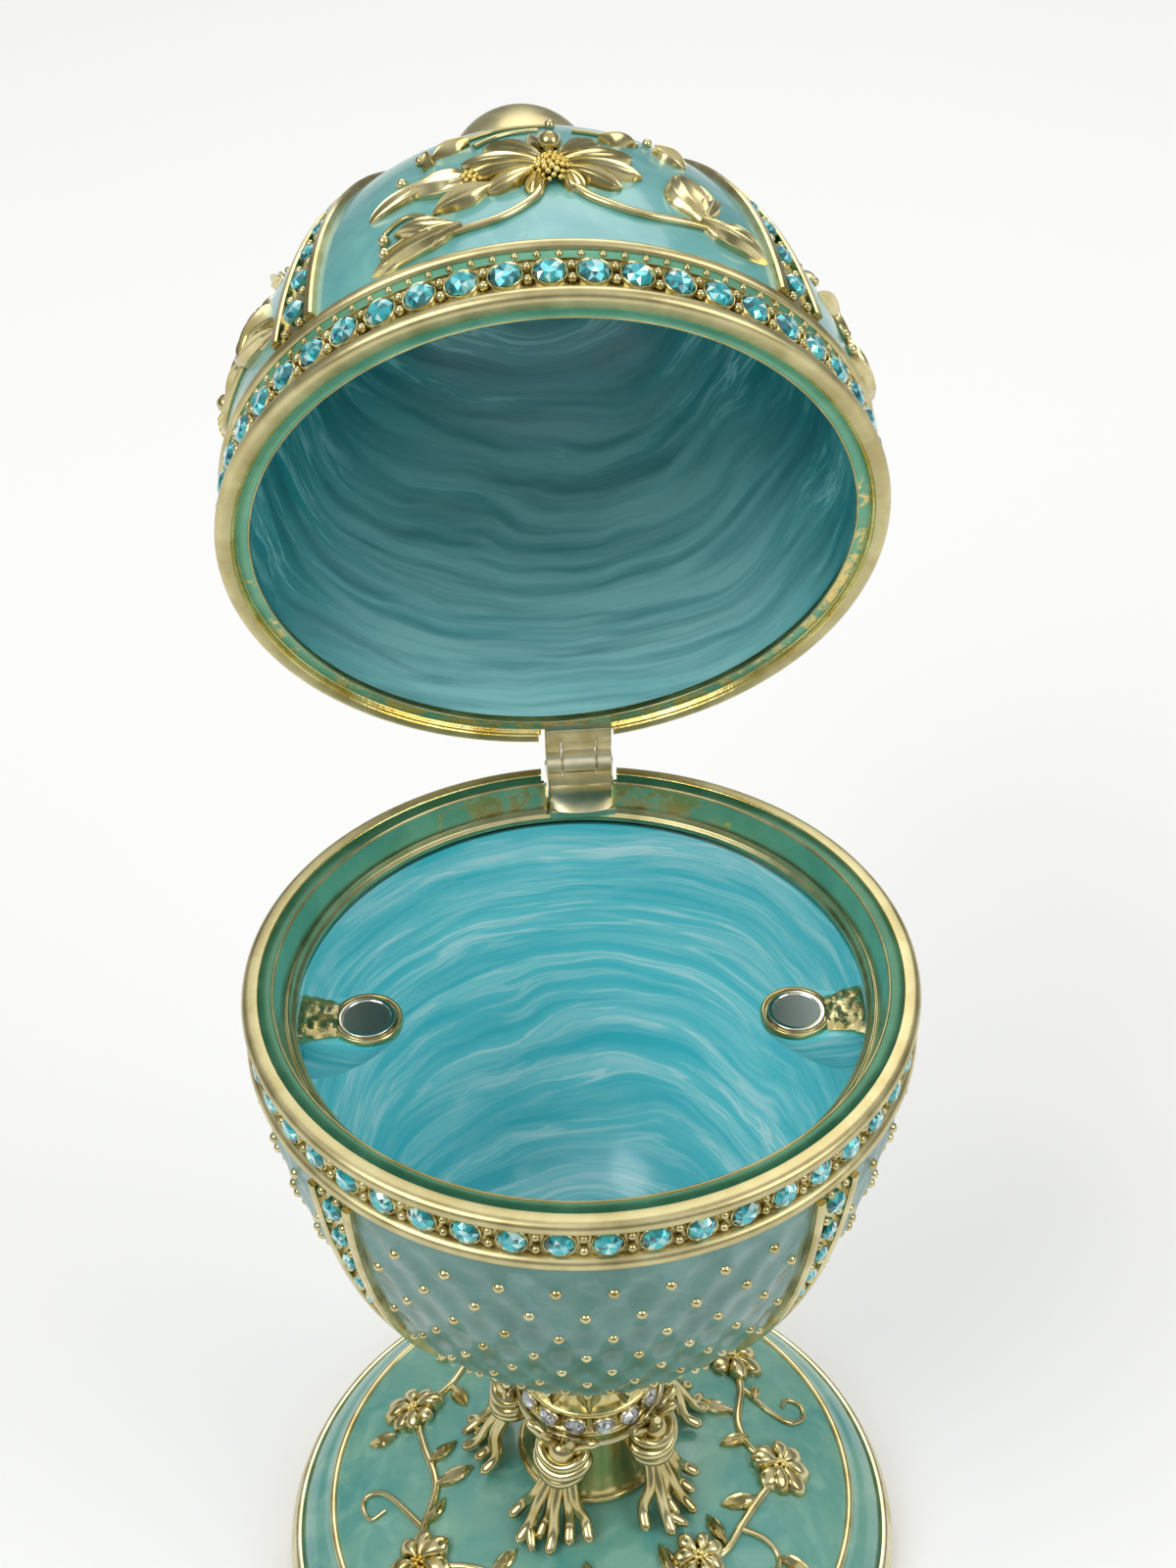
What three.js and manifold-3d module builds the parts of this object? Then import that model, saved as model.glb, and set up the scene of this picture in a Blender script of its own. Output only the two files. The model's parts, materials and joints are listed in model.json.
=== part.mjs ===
// Jewelled egg trinket box, built as cast metal egg boxes are.
//
// A domed foot, a gilt column wrapped in tied bundles of stems, a deep bowl and a hinged dome for
// a lid. Bowl and lid are thin hollow castings with a rolled rim, a channel of set stones below it,
// four ribs and four enamelled panels between the ribs. The bowl's panels carry rows of studs, the
// lid's panels a flower with stems and leaves, and the foot a garland.
//
// Units are millimetres. +Z is up, and the origin is the centre of the underside, on the table.
// The front faces -Y and the hinge is at +Y. The lid is modelled shut in its own group, which the
// hinge groups then swing open, as the box stands at rest.

import * as THREE from "three";
import { mergeVertices } from "three/addons/utils/BufferGeometryUtils.js";
import Module from "manifold-3d";

const wasm = await Module();
wasm.setup();

// ---------------------------------------------------------------- driving dimensions

const ROUND = 24; // sides of the large turned forms
const MERIDIAN_STEPS = { outside: 7, lining: 4 }; // points down the long curves of bowl and dome
const SINK = 0.6; // how deep a relief is rooted in the wall under it
const FIT_GAP = 0.3; // between pieces that rest on or beside each other
const STONE = { height: 0.85, root: 0.3 };

const FOOT = { radius: 33.5, bottomRadius: 32.2, edgeTop: 3.2, wireRadius: 32.4, ringRadius: 28.3 };
const FOOT_DOME = { sphere: 54, top: 15.9 }; // a shallow cap of a large sphere
const COLUMN = { radius: 6.7, footRing: 7.5, collarZ: 28.2, cupRadius: 9.2, sides: 14 };
const COLLAR_STONES = { count: 14, halfSide: 0.8 };

const RIM_Z = 85; // table to the bowl's rim
const RIM_RADIUS = 30;
const CHANNEL_RADIUS = 28.95; // floor of the stone channels
const BOWL = { radius: 29.7, depth: 46.5 };
const BOWL_LINING = { radius: 25.6, depth: 43.8, fullness: 2.3, top: -2.9 };
const BOWL_PANEL_TOP = -5.5;
const DOME = { radius: 29.8, height: 41.4, bulge: 2.28, rise: 2.19 };
const DOME_LINING = { radius: 27.3, height: 38.9, bulge: 2.28, rise: 2.19 };
const DOME_PANEL_BOTTOM = 7.1;
const KNOB = { radius: 8.2, top: 54.8 };
const LID_TURN = 3.5; // degrees that the lid casting sits turned on its hinge

// Turned bands as [radius, height] from each rim: the wire, the stone channel and the rolled rim
// on the outside of the bowl, its step and ledge inside, and the same band on the lid.
const BOWL_BAND = [
  [29.95, -5.1], [29.95, -4.5], [CHANNEL_RADIUS, -4.1], [CHANNEL_RADIUS, -1.6],
  [RIM_RADIUS, -1.15], [RIM_RADIUS, -0.4], [29.5, 0],
];
const BOWL_LEDGE = [[28.45, 0], [28.4, -0.8], [27.5, -0.8], [26.5, -2.4], [25.9, -2.5]];
const LID_BAND = [
  [27.8, 0.7], [28.3, 0], [29.6, 0], [RIM_RADIUS, 0.4], [RIM_RADIUS, 1.2],
  [CHANNEL_RADIUS, 1.7], [CHANNEL_RADIUS, 5], [29.8, 6.1], [29.8, 6.8],
];

const BOWL_STONES = { count: 48, halfSide: 0.9, z: -2.8, hingeGap: 10 }; // the gap is in degrees
const LID_STONES = { count: 52, halfSide: 1, z: 3.5, hingeGap: 0 };
const PANELS = 4;
const RIB = { wide: 5.2, narrow: 1.3, height: 0.75, floor: 0.2 };
const RIB_FLAT = { bowl: [-5.3, -41], lid: [6.9, 38.3] }; // where the ribs start and end

const STUD = { pitch: 4.75, rowPitch: 3.65, firstRow: -9, rows: 3, radius: 0.6, height: 0.55 };

const HINGE = { y: 31.6, z: -1.1, skewDegrees: 4, radius: 1.45, length: 6.6, middle: 3.3 };
const PIN_RADIUS = 0.6;
const PIN_BORE = 0.72;
const NOTCH = { width: 7.5, from: 28, depth: 3.2, height: 1.9 };
const POCKET = { width: 6.8, from: 24 }; // for the hinge's plate, at the notch's depth
const OPEN_DEGREES = 72;

const MAGNET = { x: 19.4, radius: 2.6, thickness: 1.6, top: -5.7 };
const POST_RADIUS = 3.15;

// ---------------------------------------------------------------- solids

const degrees = (angle) => (angle * Math.PI) / 180;

// A closed solid from a three.js geometry, with its faces turned outwards.
function solid(geometry) {
  const bare = new THREE.BufferGeometry();
  bare.setAttribute("position", geometry.getAttribute("position").clone());
  if (geometry.getIndex()) bare.setIndex(geometry.getIndex().clone());
  const merged = mergeVertices(bare, 1e-4);
  const at = merged.getAttribute("position");
  const index = merged.getIndex().array;
  const triangles = [];
  let volume = 0;
  for (let i = 0; i < index.length; i += 3) {
    const [a, b, c] = [index[i], index[i + 1], index[i + 2]];
    if (a === b || b === c || c === a) continue;
    triangles.push([a, b, c]);
    const [p, q, r] = [a, b, c].map((k) => new THREE.Vector3().fromBufferAttribute(at, k));
    volume += p.dot(q.cross(r));
  }
  const outward = volume > 0 ? triangles : triangles.map(([a, b, c]) => [a, c, b]);
  const vertProperties = new Float32Array(at.array);
  const triVerts = new Uint32Array(outward.flat());
  return new wasm.Manifold(new wasm.Mesh({ numProp: 3, vertProperties, triVerts }));
}

const joined = (solids) => solids.reduce((whole, piece) => whole.add(piece));

function mesh(name, body, color, roughness, metalness) {
  const { vertProperties, triVerts } = body.getMesh();
  const geometry = new THREE.BufferGeometry();
  geometry.setAttribute("position", new THREE.BufferAttribute(vertProperties, 3));
  geometry.setIndex(new THREE.BufferAttribute(triVerts, 1));
  const piece = new THREE.Mesh(
    geometry,
    new THREE.MeshStandardMaterial({ color, roughness, metalness, flatShading: true }),
  );
  piece.name = name;
  return piece;
}

// A form turned about Z from [radius, height] pairs that start and end on the axis.
function turned(profile, sides = ROUND) {
  const points = profile.map(([radius, height]) => new THREE.Vector2(radius, height));
  return solid(new THREE.LatheGeometry(points, sides).rotateX(Math.PI / 2));
}

// A skin over matching outlines. Each section lists its points in the order of the flat outline.
function loft(sections, outline) {
  const count = outline.length;
  const index = [];
  for (let i = 0; i + 1 < sections.length; i += 1) {
    for (let j = 0; j < count; j += 1) {
      const [a, b] = [i * count + j, i * count + ((j + 1) % count)];
      index.push(a, b, b + count, a, b + count, a + count);
    }
  }
  const flat = outline.map(([x, y]) => new THREE.Vector2(x, y));
  const last = (sections.length - 1) * count;
  for (const [a, b, c] of THREE.ShapeUtils.triangulateShape(flat, [])) {
    index.push(a, c, b, last + a, last + b, last + c);
  }
  const geometry = new THREE.BufferGeometry();
  geometry.setAttribute("position", new THREE.Float32BufferAttribute(sections.flat(2), 3));
  geometry.setIndex(index);
  return geometry;
}

function box(width, depth, height, x, y, z) {
  return solid(new THREE.BoxGeometry(width, depth, height).translate(x, y, z));
}

// A ring or rod along X, with a bore when one is given.
function barrel(radius, bore, from, to, sides = 10) {
  const profile = bore
    ? [[bore, from], [radius, from], [radius, to], [bore, to], [bore, from]]
    : [[0, from], [radius, from], [radius, to], [0, to]];
  const points = profile.map(([r, along]) => new THREE.Vector2(r, along));
  return solid(new THREE.LatheGeometry(points, sides).rotateZ(-Math.PI / 2));
}

// ---------------------------------------------------------------- skins and what is laid on them

// Each skin is turned about Z. It gives [radius, height] for a place along its meridian: the
// height itself on the bowl and the dome, and the radius, counted inwards, on the foot.
function bowlSkin(z) {
  return [BOWL.radius * Math.sqrt(1 - (z / BOWL.depth) ** 2), z];
}

function domeSkin(z) {
  return [DOME.radius * (1 - (z / DOME.height) ** DOME.rise) ** (1 / DOME.bulge), z];
}

function footSkin(inwards) {
  const radius = FOOT.ringRadius - inwards;
  const cap = Math.sqrt(FOOT_DOME.sphere ** 2 - radius ** 2);
  return [radius, FOOT_DOME.top - FOOT_DOME.sphere + cap];
}

// The unit step along the meridian, and how far it moves for each unit of the skin's parameter.
function slope(skin, place) {
  const step = 0.01;
  const [r0, z0] = skin(place - step);
  const [r1, z1] = skin(place + step);
  const length = Math.hypot(r1 - r0, z1 - z0);
  return { along: [(r1 - r0) / length, (z1 - z0) / length], speed: length / (2 * step) };
}

// Bends a flat geometry onto a skin: x runs across, y up the meridian and z out of the surface.
// The flat origin lands at an azimuth, counted in degrees from the front, and a meridian place.
function laidOn(skin, azimuth, place, geometry) {
  const at = geometry.getAttribute("position");
  for (let i = 0; i < at.count; i += 1) {
    const steps = Math.max(1, Math.ceil(Math.abs(at.getY(i))));
    let here = place;
    for (let k = 0; k < steps; k += 1) here += at.getY(i) / steps / slope(skin, here).speed;
    const [radius, height] = skin(here);
    const { along } = slope(skin, here);
    const angle = degrees(azimuth) + at.getX(i) / radius;
    const reach = radius + at.getZ(i) * along[1];
    at.setXYZ(i, reach * Math.sin(angle), -reach * Math.cos(angle), height - at.getZ(i) * along[0]);
  }
  return solid(geometry);
}

// A low pointed boss with its root in the wall: a set stone, a stud or a flower's eye.
function boss(sides, radius, height, root = SINK) {
  const cone = new THREE.ConeGeometry(radius * (1 + root / height), height + root, sides);
  return cone.rotateX(Math.PI / 2).translate(0, 0, (height - root) / 2);
}

// A set stone is point-cut, with its flat sides along the channel that holds it.
function stone(halfSide) {
  return boss(4, halfSide * Math.SQRT2, STONE.height, STONE.root).rotateZ(Math.PI / 4);
}

// A leaf or petal that starts at [x, y] and points along an angle, highest at its broad part.
function leaf([x, y], angle, length, width, height) {
  const peak = 0.6 * length;
  const spread = 1 + SINK / height;
  const outline = [[-peak, 0], [0, -width / 2], [length - peak, 0], [0, width / 2]];
  const roots = outline.map(([a, b]) => [peak + a * spread, b * spread, -SINK]);
  const points = [...roots, [peak, 0, height]];
  const geometry = new THREE.BufferGeometry();
  geometry.setAttribute("position", new THREE.Float32BufferAttribute(points.flat(), 3));
  geometry.setIndex([0, 3, 2, 0, 2, 1, 0, 1, 4, 1, 2, 4, 2, 3, 4, 3, 0, 4]);
  return geometry.rotateZ(degrees(angle)).translate(x, y, 0);
}

// A stem that follows a smooth line through flat points, three-sided and thinner at its end.
function stem(points, width, height, steps = 3) {
  const line = new THREE.CatmullRomCurve3(points.map(([x, y]) => new THREE.Vector3(x, y, 0)));
  const spread = 1 + SINK / height;
  const sections = [];
  for (let i = 0; i <= steps; i += 1) {
    const here = line.getPointAt(i / steps);
    const ahead = line.getTangentAt(i / steps);
    const half = (width / 2) * spread * (1 - (0.4 * i) / steps);
    sections.push([
      [here.x - ahead.y * half, here.y + ahead.x * half, -SINK],
      [here.x + ahead.y * half, here.y - ahead.x * half, -SINK],
      [here.x, here.y, height],
    ]);
  }
  return loft(sections, [[0, 0], [1, 0], [0.5, 1]]);
}

// A small open flower in one piece: a star of round petals around a raised eye.
function blossom(petals, radius, height) {
  const tip = (j) => degrees((180 * j) / petals);
  const reach = (j) => (j % 2 === 0 ? radius : 0.62 * radius);
  const rim = Array.from({ length: 2 * petals }, (_, j) => [
    reach(j) * Math.cos(tip(j)),
    reach(j) * Math.sin(tip(j)),
  ]);
  const index = rim.flatMap((_, j) => {
    const next = (j + 1) % rim.length;
    return [j, next, rim.length, next, j, rim.length + 1];
  });
  const spread = 1 + SINK / height;
  const roots = rim.map(([x, y]) => [x * spread, y * spread, -SINK]);
  const points = [...roots, [0, 0, height], [0, 0, -2 * SINK]];
  const geometry = new THREE.BufferGeometry();
  geometry.setAttribute("position", new THREE.Float32BufferAttribute(points.flat(), 3));
  geometry.setIndex(index);
  return geometry;
}

// ---------------------------------------------------------------- ribs, stones and studs

function ribWidth(share) {
  return RIB.wide + (RIB.narrow - RIB.wide) * share;
}

// A tapering band with a raised wire along each side and a hollow between, where the stones sit.
function rib(skin, azimuth, [from, to]) {
  const outline = [[0.5, -1], [0.38, 1], [0, 0], [-0.38, 1], [-0.5, -1]];
  const stations = 4;
  const sections = [];
  for (let i = 0; i <= stations; i += 1) {
    const share = i / stations;
    const [radius, height] = skin(from + (to - from) * share);
    const { along } = slope(skin, from + (to - from) * share);
    sections.push(outline.map(([across, level]) => {
      const out = level < 0 ? -SINK : RIB.floor + level * (RIB.height - RIB.floor);
      const angle = degrees(azimuth) + (across * ribWidth(share)) / radius;
      const reach = radius + out * along[1];
      return [reach * Math.sin(angle), -reach * Math.cos(angle), height - out * along[0]];
    }));
  }
  return solid(loft(sections, outline));
}

const ribAzimuths = Array.from({ length: PANELS }, (_, k) => (360 / PANELS) * (k + 0.5));
const panelAzimuths = Array.from({ length: PANELS }, (_, k) => (360 / PANELS) * k);

// A row of stones round a channel, a few sides each, left out where the hinge's notch reaches.
function rimStones({ count, halfSide, z, hingeGap }) {
  const channel = (height) => [CHANNEL_RADIUS, height];
  const azimuths = Array.from({ length: count }, (_, k) => (360 * (k + 0.5)) / count);
  return azimuths
    .filter((azimuth) => Math.abs(azimuth - 180) > hingeGap)
    .map((azimuth) => laidOn(channel, azimuth, z, stone(halfSide)));
}

// Rows of studs over each panel, every second row set half a pitch over.
function studs() {
  const set = [];
  for (let row = 0; row < STUD.rows; row += 1) {
    const z = STUD.firstRow - row * STUD.rowPitch;
    const [radius] = bowlSkin(z);
    const share = (z - RIB_FLAT.bowl[0]) / (RIB_FLAT.bowl[1] - RIB_FLAT.bowl[0]);
    const reach = degrees(180 / PANELS) * radius - ribWidth(share) / 2 - 1.6;
    for (const panel of panelAzimuths) {
      for (let across = row % 2 ? 0 : STUD.pitch / 2; across < reach; across += STUD.pitch) {
        for (const side of across === 0 ? [1] : [-1, 1]) {
          const azimuth = panel + (side * across * 180) / (Math.PI * radius);
          set.push(laidOn(bowlSkin, azimuth, z, boss(3, STUD.radius, STUD.height)));
        }
      }
    }
  }
  return set;
}

// ---------------------------------------------------------------- foot

function foot() {
  const [, ringZ] = footSkin(0);
  const [, topZ] = footSkin(FOOT.ringRadius);
  const [, middleZ] = footSkin(FOOT.ringRadius * 0.42);
  const [, innerZ] = footSkin(FOOT.ringRadius * 0.7);
  const body = turned([
    [0, 0], [FOOT.bottomRadius, 0], [FOOT.radius, 1], [FOOT.radius, FOOT.edgeTop - 0.6],
    [FOOT.wireRadius, FOOT.edgeTop + 1.2], [FOOT.wireRadius - 0.8, FOOT.edgeTop + 2.3],
    [FOOT.ringRadius + 0.5, ringZ], [FOOT.ringRadius, ringZ + 0.7],
    [FOOT.ringRadius - 0.7, ringZ + 0.2], [FOOT.ringRadius * 0.58, middleZ],
    [FOOT.ringRadius * 0.3, innerZ], [0, topZ],
  ]);
  return joined([body, ...garland()]);
}

// Flowers on the foot, as [azimuth, radius], with a stem from each to the next one round.
const GARLAND = [
  [40, 17.4], [88, 20.7], [130, 21.3], [172, 19], [212, 20.5], [250, 21], [303, 21.8], [352, 19],
];

function garland() {
  const pieces = [];
  GARLAND.forEach(([azimuth, radius], k) => {
    const [nextAzimuth, nextRadius] = GARLAND[(k + 1) % GARLAND.length];
    const span = (nextAzimuth - azimuth + 360) % 360;
    const inner = 17;
    const across = (share) => degrees(span * share) * inner;
    const points = [
      [across(0.04), radius - inner], [across(0.3), 0.6], [across(0.6), 0],
      [across(0.98), nextRadius - inner],
    ].map(([x, outwards]) => [x, -outwards]);
    const middle = FOOT.ringRadius - inner;
    pieces.push(laidOn(footSkin, azimuth, middle, stem(points, 1, 0.8)));
    const leafAngle = k % 2 ? 60 : -60;
    const leafAzimuth = azimuth + span * 0.5;
    pieces.push(laidOn(footSkin, leafAzimuth, middle, leaf([0, 0], leafAngle, 4.4, 2.2, 0.9)));
    const flower = blossom(5, 3.1, 1.5);
    pieces.push(laidOn(footSkin, azimuth, FOOT.ringRadius - radius, flower));
  });
  return pieces;
}

// ---------------------------------------------------------------- column with tied stems

// One bundle stands against the column: cut ends above, ribbon round the waist, stems below.
const BUNDLES = { count: 5, firstAzimuth: -20, tieZ: 24.7, tieHeight: 3.6 };
const STEMS = [ // splay in degrees round the column, reach from the axis, height of the end
  [-32, 12.6, 14.9], [-9, 13.6, 14.2], [22, 10.8, 15.3],
];

function polar(azimuth, radius, z) {
  const angle = degrees(azimuth);
  return [radius * Math.sin(angle), -radius * Math.cos(angle), z];
}

// A rod through points beside the column, thick at first and thinner at its end.
function rod(outline, points, thick, thin) {
  const sections = points.map(([azimuth, radius, z], i) => {
    const size = thick + ((thin - thick) * i) / (points.length - 1);
    const turn = (a) => azimuth + (a * size * 180) / (Math.PI * radius);
    return outline.map(([a, b]) => polar(turn(a), radius + b * size, z));
  });
  return solid(loft(sections, outline));
}

function bundle(azimuth) {
  const { tieZ, tieHeight } = BUNDLES;
  const waist = COLUMN.radius + 1.2;
  const knot = rod(
    [[-0.5, -0.5], [0.5, -0.5], [0.5, 0.2], [0, 0.55], [-0.5, 0.2]],
    [
      [azimuth, waist - 0.2, tieZ + tieHeight / 2 + 2.6], [azimuth, waist + 0.2, tieZ],
      [azimuth, waist + 0.1, tieZ - tieHeight / 2],
    ],
    3.3,
    2.6,
  );
  const stems = STEMS.map(([splay, reach, endZ]) => rod(
    [[-0.6, -0.4], [0.6, -0.4], [0, 0.6]],
    [
      [azimuth + splay * 0.12, waist, tieZ - tieHeight / 2 + 0.6],
      [azimuth + splay * 0.5, waist + (reach - waist) * 0.3, endZ + 4.2],
      [azimuth + splay, reach, endZ + FIT_GAP],
    ],
    1.3,
    1,
  ));
  return joined([knot, ...stems]);
}

function column() {
  const [, footZ] = footSkin(FOOT.ringRadius - COLUMN.footRing);
  const [, centreZ] = footSkin(FOOT.ringRadius);
  const cupZ = (at) => RIM_Z - FIT_GAP - BOWL.depth * Math.sqrt(1 - (at / BOWL.radius) ** 2);
  const { radius, footRing, collarZ, cupRadius } = COLUMN;
  const body = turned([
    [0, centreZ + FIT_GAP], [footRing, footZ + FIT_GAP + 0.5], [footRing, footZ + FIT_GAP + 1.3],
    [radius + 0.2, footZ + 2.2], [radius - 0.2, collarZ - 5], [radius + 0.1, collarZ - 1.4],
    [radius + 0.4, collarZ + 1.3], [radius - 0.5, collarZ + 2.4], [radius, collarZ + 7],
    [cupRadius, cupZ(cupRadius) - 0.8], [cupRadius, cupZ(cupRadius)],
    [cupRadius / 2, cupZ(cupRadius / 2)], [0, cupZ(0)],
  ], COLUMN.sides);
  const collar = (height) => [radius + 0.2, height];
  const stones = Array.from({ length: COLLAR_STONES.count }, (_, k) => laidOn(
    collar,
    (360 * (k + 0.5)) / COLLAR_STONES.count,
    collarZ,
    stone(COLLAR_STONES.halfSide),
  ));
  const turns = Array.from({ length: BUNDLES.count }, (_, k) => 360 * (k / BUNDLES.count));
  const bundles = turns.map((turn) => bundle(BUNDLES.firstAzimuth + turn));
  return joined([body, ...stones, ...bundles]);
}

// ---------------------------------------------------------------- bowl

// Points along a full quarter curve between the axis and a radius, for shells and linings.
function quarter(radius, height, bulge, rise, from, to, steps) {
  return Array.from({ length: steps + 1 }, (_, i) => {
    const angle = degrees(from + ((to - from) * i) / steps);
    return [radius * Math.sin(angle) ** (2 / bulge), height * Math.cos(angle) ** (2 / rise)];
  });
}

// The angle on such a curve at which it reaches a height.
function angleAt(height, full, rise) {
  return (Math.acos((height / full) ** (rise / 2)) * 180) / Math.PI;
}

// A bracket that carries one magnet: a round post that dies into the wall, and a cast web.
function magnetPost(side) {
  const rings = [ // distance from the axis, radius, height
    [MAGNET.x, POST_RADIUS, MAGNET.top], [MAGNET.x, POST_RADIUS, MAGNET.top - 3.4],
    [MAGNET.x + 2.2, 2.3, MAGNET.top - 6.6], [MAGNET.x + 5, 0.8, MAGNET.top - 9],
  ];
  const sides = 8;
  const outline = Array.from({ length: sides }, (_, j) => [
    Math.cos((2 * Math.PI * j) / sides),
    Math.sin((2 * Math.PI * j) / sides),
  ]);
  const sections = rings.map(([x, radius, z]) =>
    outline.map(([a, b]) => [side * (x + a * radius), b * radius, z]));
  const post = solid(loft(sections, outline));
  const web = box(5.4, 5, 2.6, side * 24.2, 0, MAGNET.top - 0.7);
  const seatFloor = MAGNET.top - MAGNET.thickness - FIT_GAP;
  const seatRadius = MAGNET.radius + FIT_GAP;
  const above = MAGNET.top + 4;
  const seat = turned([[0, seatFloor], [seatRadius, seatFloor], [seatRadius, above], [0, above]], 16)
    .translate([side * MAGNET.x, 0, 0]);
  return { metal: post.add(web), seat };
}

function bowl() {
  const panelAngle = (Math.acos(-BOWL_PANEL_TOP / BOWL.depth) * 180) / Math.PI;
  const outside = quarter(BOWL.radius, -BOWL.depth, 2, 2, 0, panelAngle, MERIDIAN_STEPS.outside);
  const liningAngle = angleAt(-BOWL_LINING.top, BOWL_LINING.depth, BOWL_LINING.fullness);
  const { radius, depth, fullness } = BOWL_LINING;
  const lining = quarter(radius, -depth, fullness, fullness, liningAngle, 0, MERIDIAN_STEPS.lining);
  const shell = turned([
    ...outside,
    ...BOWL_BAND,
    ...BOWL_LEDGE,
    ...lining,
  ]);
  const posts = [-1, 1].map(magnetPost);
  const raised = [
    ...ribAzimuths.map((azimuth) => rib(bowlSkin, azimuth, RIB_FLAT.bowl)),
    ...rimStones(BOWL_STONES), ...studs(),
    ...posts.map(({ metal }) => metal),
  ];
  const pocket = box(POCKET.width, 6, NOTCH.depth + 1, 0, POCKET.from + 3, (1 - NOTCH.depth) / 2);
  const cuts = joined([...posts.map(({ seat }) => seat), notch(-NOTCH.depth, 1), pocket]);
  return joined([shell, ...raised]).subtract(cuts);
}

// Room for the hinge at the back of a rim, between two heights.
function notch(from, to) {
  return box(NOTCH.width, 8, to - from, 0, NOTCH.from + 4, (from + to) / 2);
}

// ---------------------------------------------------------------- lid

// One panel's relief, flat, with the open flower's eye at the origin: x across and y up.
const FLOWER_Z = 16.5;
const PETALS = [ // angle, length, width
  [92, 6.6, 3.6], [132, 6.4, 3.2], [168, 6.2, 2.8], [208, 5.4, 2.6], [55, 6.6, 3.2], [17, 6.4, 3],
  [-20, 5, 2.8],
];
const EYE = { radius: 1.6, height: 2.1 };
const LEAVES = [ // start, angle, length, width
  [[-9, -6.9], 194, 6, 2.6], [[-6.2, 0.4], 140, 6.4, 2.4], [[10.4, -4.6], 76, 6.6, 2.8],
  [[9.8, -5.8], -14, 6.6, 3],
];
const STALKS = [
  [[-0.8, -2.6], [-1.6, -5.2], [-4.8, -7.2], [-9.4, -6.9]],
  [[0.8, -2.6], [2.6, -5.8], [6.2, -6.9], [10.6, -4.4]],
];

function panelRelief(azimuth) {
  const flat = [
    ...PETALS.map(([angle, length, width]) => leaf([0, 0], angle, length, width, 1.4)),
    ...LEAVES.map(([start, angle, length, width]) => leaf(start, angle, length, width, 1)),
    ...STALKS.map((points) => stem(points, 1, 0.8)),
    boss(6, EYE.radius, EYE.height),
  ];
  return flat.map((geometry) => laidOn(domeSkin, azimuth, FLOWER_Z, geometry));
}

function lid() {
  const { radius, height, bulge, rise } = DOME;
  const panelAngle = angleAt(DOME_PANEL_BOTTOM, height, rise);
  const knobAngle = (Math.asin(((KNOB.radius + 0.8) / radius) ** (bulge / 2)) * 180) / Math.PI;
  const outside = quarter(radius, height, bulge, rise, panelAngle, knobAngle, MERIDIAN_STEPS.outside);
  const lining = quarter(
    DOME_LINING.radius, DOME_LINING.height, DOME_LINING.bulge, DOME_LINING.rise,
    0, angleAt(1.2, DOME_LINING.height, DOME_LINING.rise), MERIDIAN_STEPS.lining,
  );
  const knobZ = outside.at(-1)[1];
  const knobStep = (KNOB.top - knobZ) / 3;
  const shell = turned([
    ...lining,
    ...LID_BAND,
    ...outside,
    [KNOB.radius - 0.3, knobZ + 0.7], [KNOB.radius, knobZ + 1.3 * knobStep],
    [KNOB.radius * 0.7, knobZ + 2.5 * knobStep], [0, KNOB.top],
  ]);
  const raised = [
    ...ribAzimuths.map((azimuth) => rib(domeSkin, azimuth + LID_TURN, RIB_FLAT.lid)),
    ...rimStones(LID_STONES),
    ...panelAzimuths.flatMap((azimuth) => panelRelief(azimuth + LID_TURN)),
  ];
  return joined([shell, ...raised]).subtract(notch(-1, NOTCH.height));
}

// ---------------------------------------------------------------- hinge, in its own frame

// The origin is on the pin's axis, x runs along it and -y points into the box.
function bowlLeaf() {
  const half = HINGE.middle / 2;
  const knuckle = barrel(HINGE.radius, PIN_BORE, -half, half);
  const arm = box(HINGE.middle, 1.6, 0.9, 0, -1.7, -0.95);
  const plate = box(6, 1.5, 1, 0, -3.05, -1);
  const lipOutline = [[-3, 0], [-2.1, -2.1], [0, -2.9], [2.1, -2.1], [3, 0]];
  const lipShape = new THREE.Shape(lipOutline.map(([x, y]) => new THREE.Vector2(x, y)));
  const lip = solid(
    new THREE.ExtrudeGeometry(lipShape, { depth: 1, bevelEnabled: false }).translate(0, -3.3, -1.75),
  );
  return joined([knuckle, arm, plate, lip]);
}

function lidLeaf() {
  const inner = HINGE.middle / 2 + 0.15;
  const outer = HINGE.length / 2;
  const ears = [-1, 1].flatMap((side) => [
    side > 0
      ? barrel(HINGE.radius, PIN_BORE, inner, outer)
      : barrel(HINGE.radius, PIN_BORE, -outer, -inner),
    box(outer - inner, 1.9, 1.1, (side * (inner + outer)) / 2, -1.75, 1.25),
  ]);
  return joined([...ears, box(2 * outer, 0.9, 1.2, 0, -2.75, 1.65)]);
}

// ---------------------------------------------------------------- assembly

const GOLD = [0xc9c08a, 0.22, 1];
const ENAMEL = { foot: [0x6fa99a, 0.2, 0], bowl: [0x5f8f8c, 0.2, 0], lid: [0x6fb8b5, 0.2, 0] };
const NICKEL = [0xb9bcb8, 0.2, 1];

const egg = new THREE.Group();
egg.add(mesh("base", foot(), ...ENAMEL.foot));
egg.add(mesh("pedestal", column(), ...GOLD));

const body = new THREE.Group();
body.position.z = RIM_Z;
body.add(mesh("bowl", bowl(), ...ENAMEL.bowl));
for (const [name, side] of [["magnet_left", -1], ["magnet_right", 1]]) {
  const disc = turned([
    [0, 0], [MAGNET.radius, 0], [MAGNET.radius, MAGNET.thickness], [0, MAGNET.thickness],
  ], 16);
  const magnet = mesh(name, disc, ...NICKEL);
  magnet.position.set(side * MAGNET.x, 0, MAGNET.top - MAGNET.thickness + 0.1);
  body.add(magnet);
}
egg.add(body);

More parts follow.
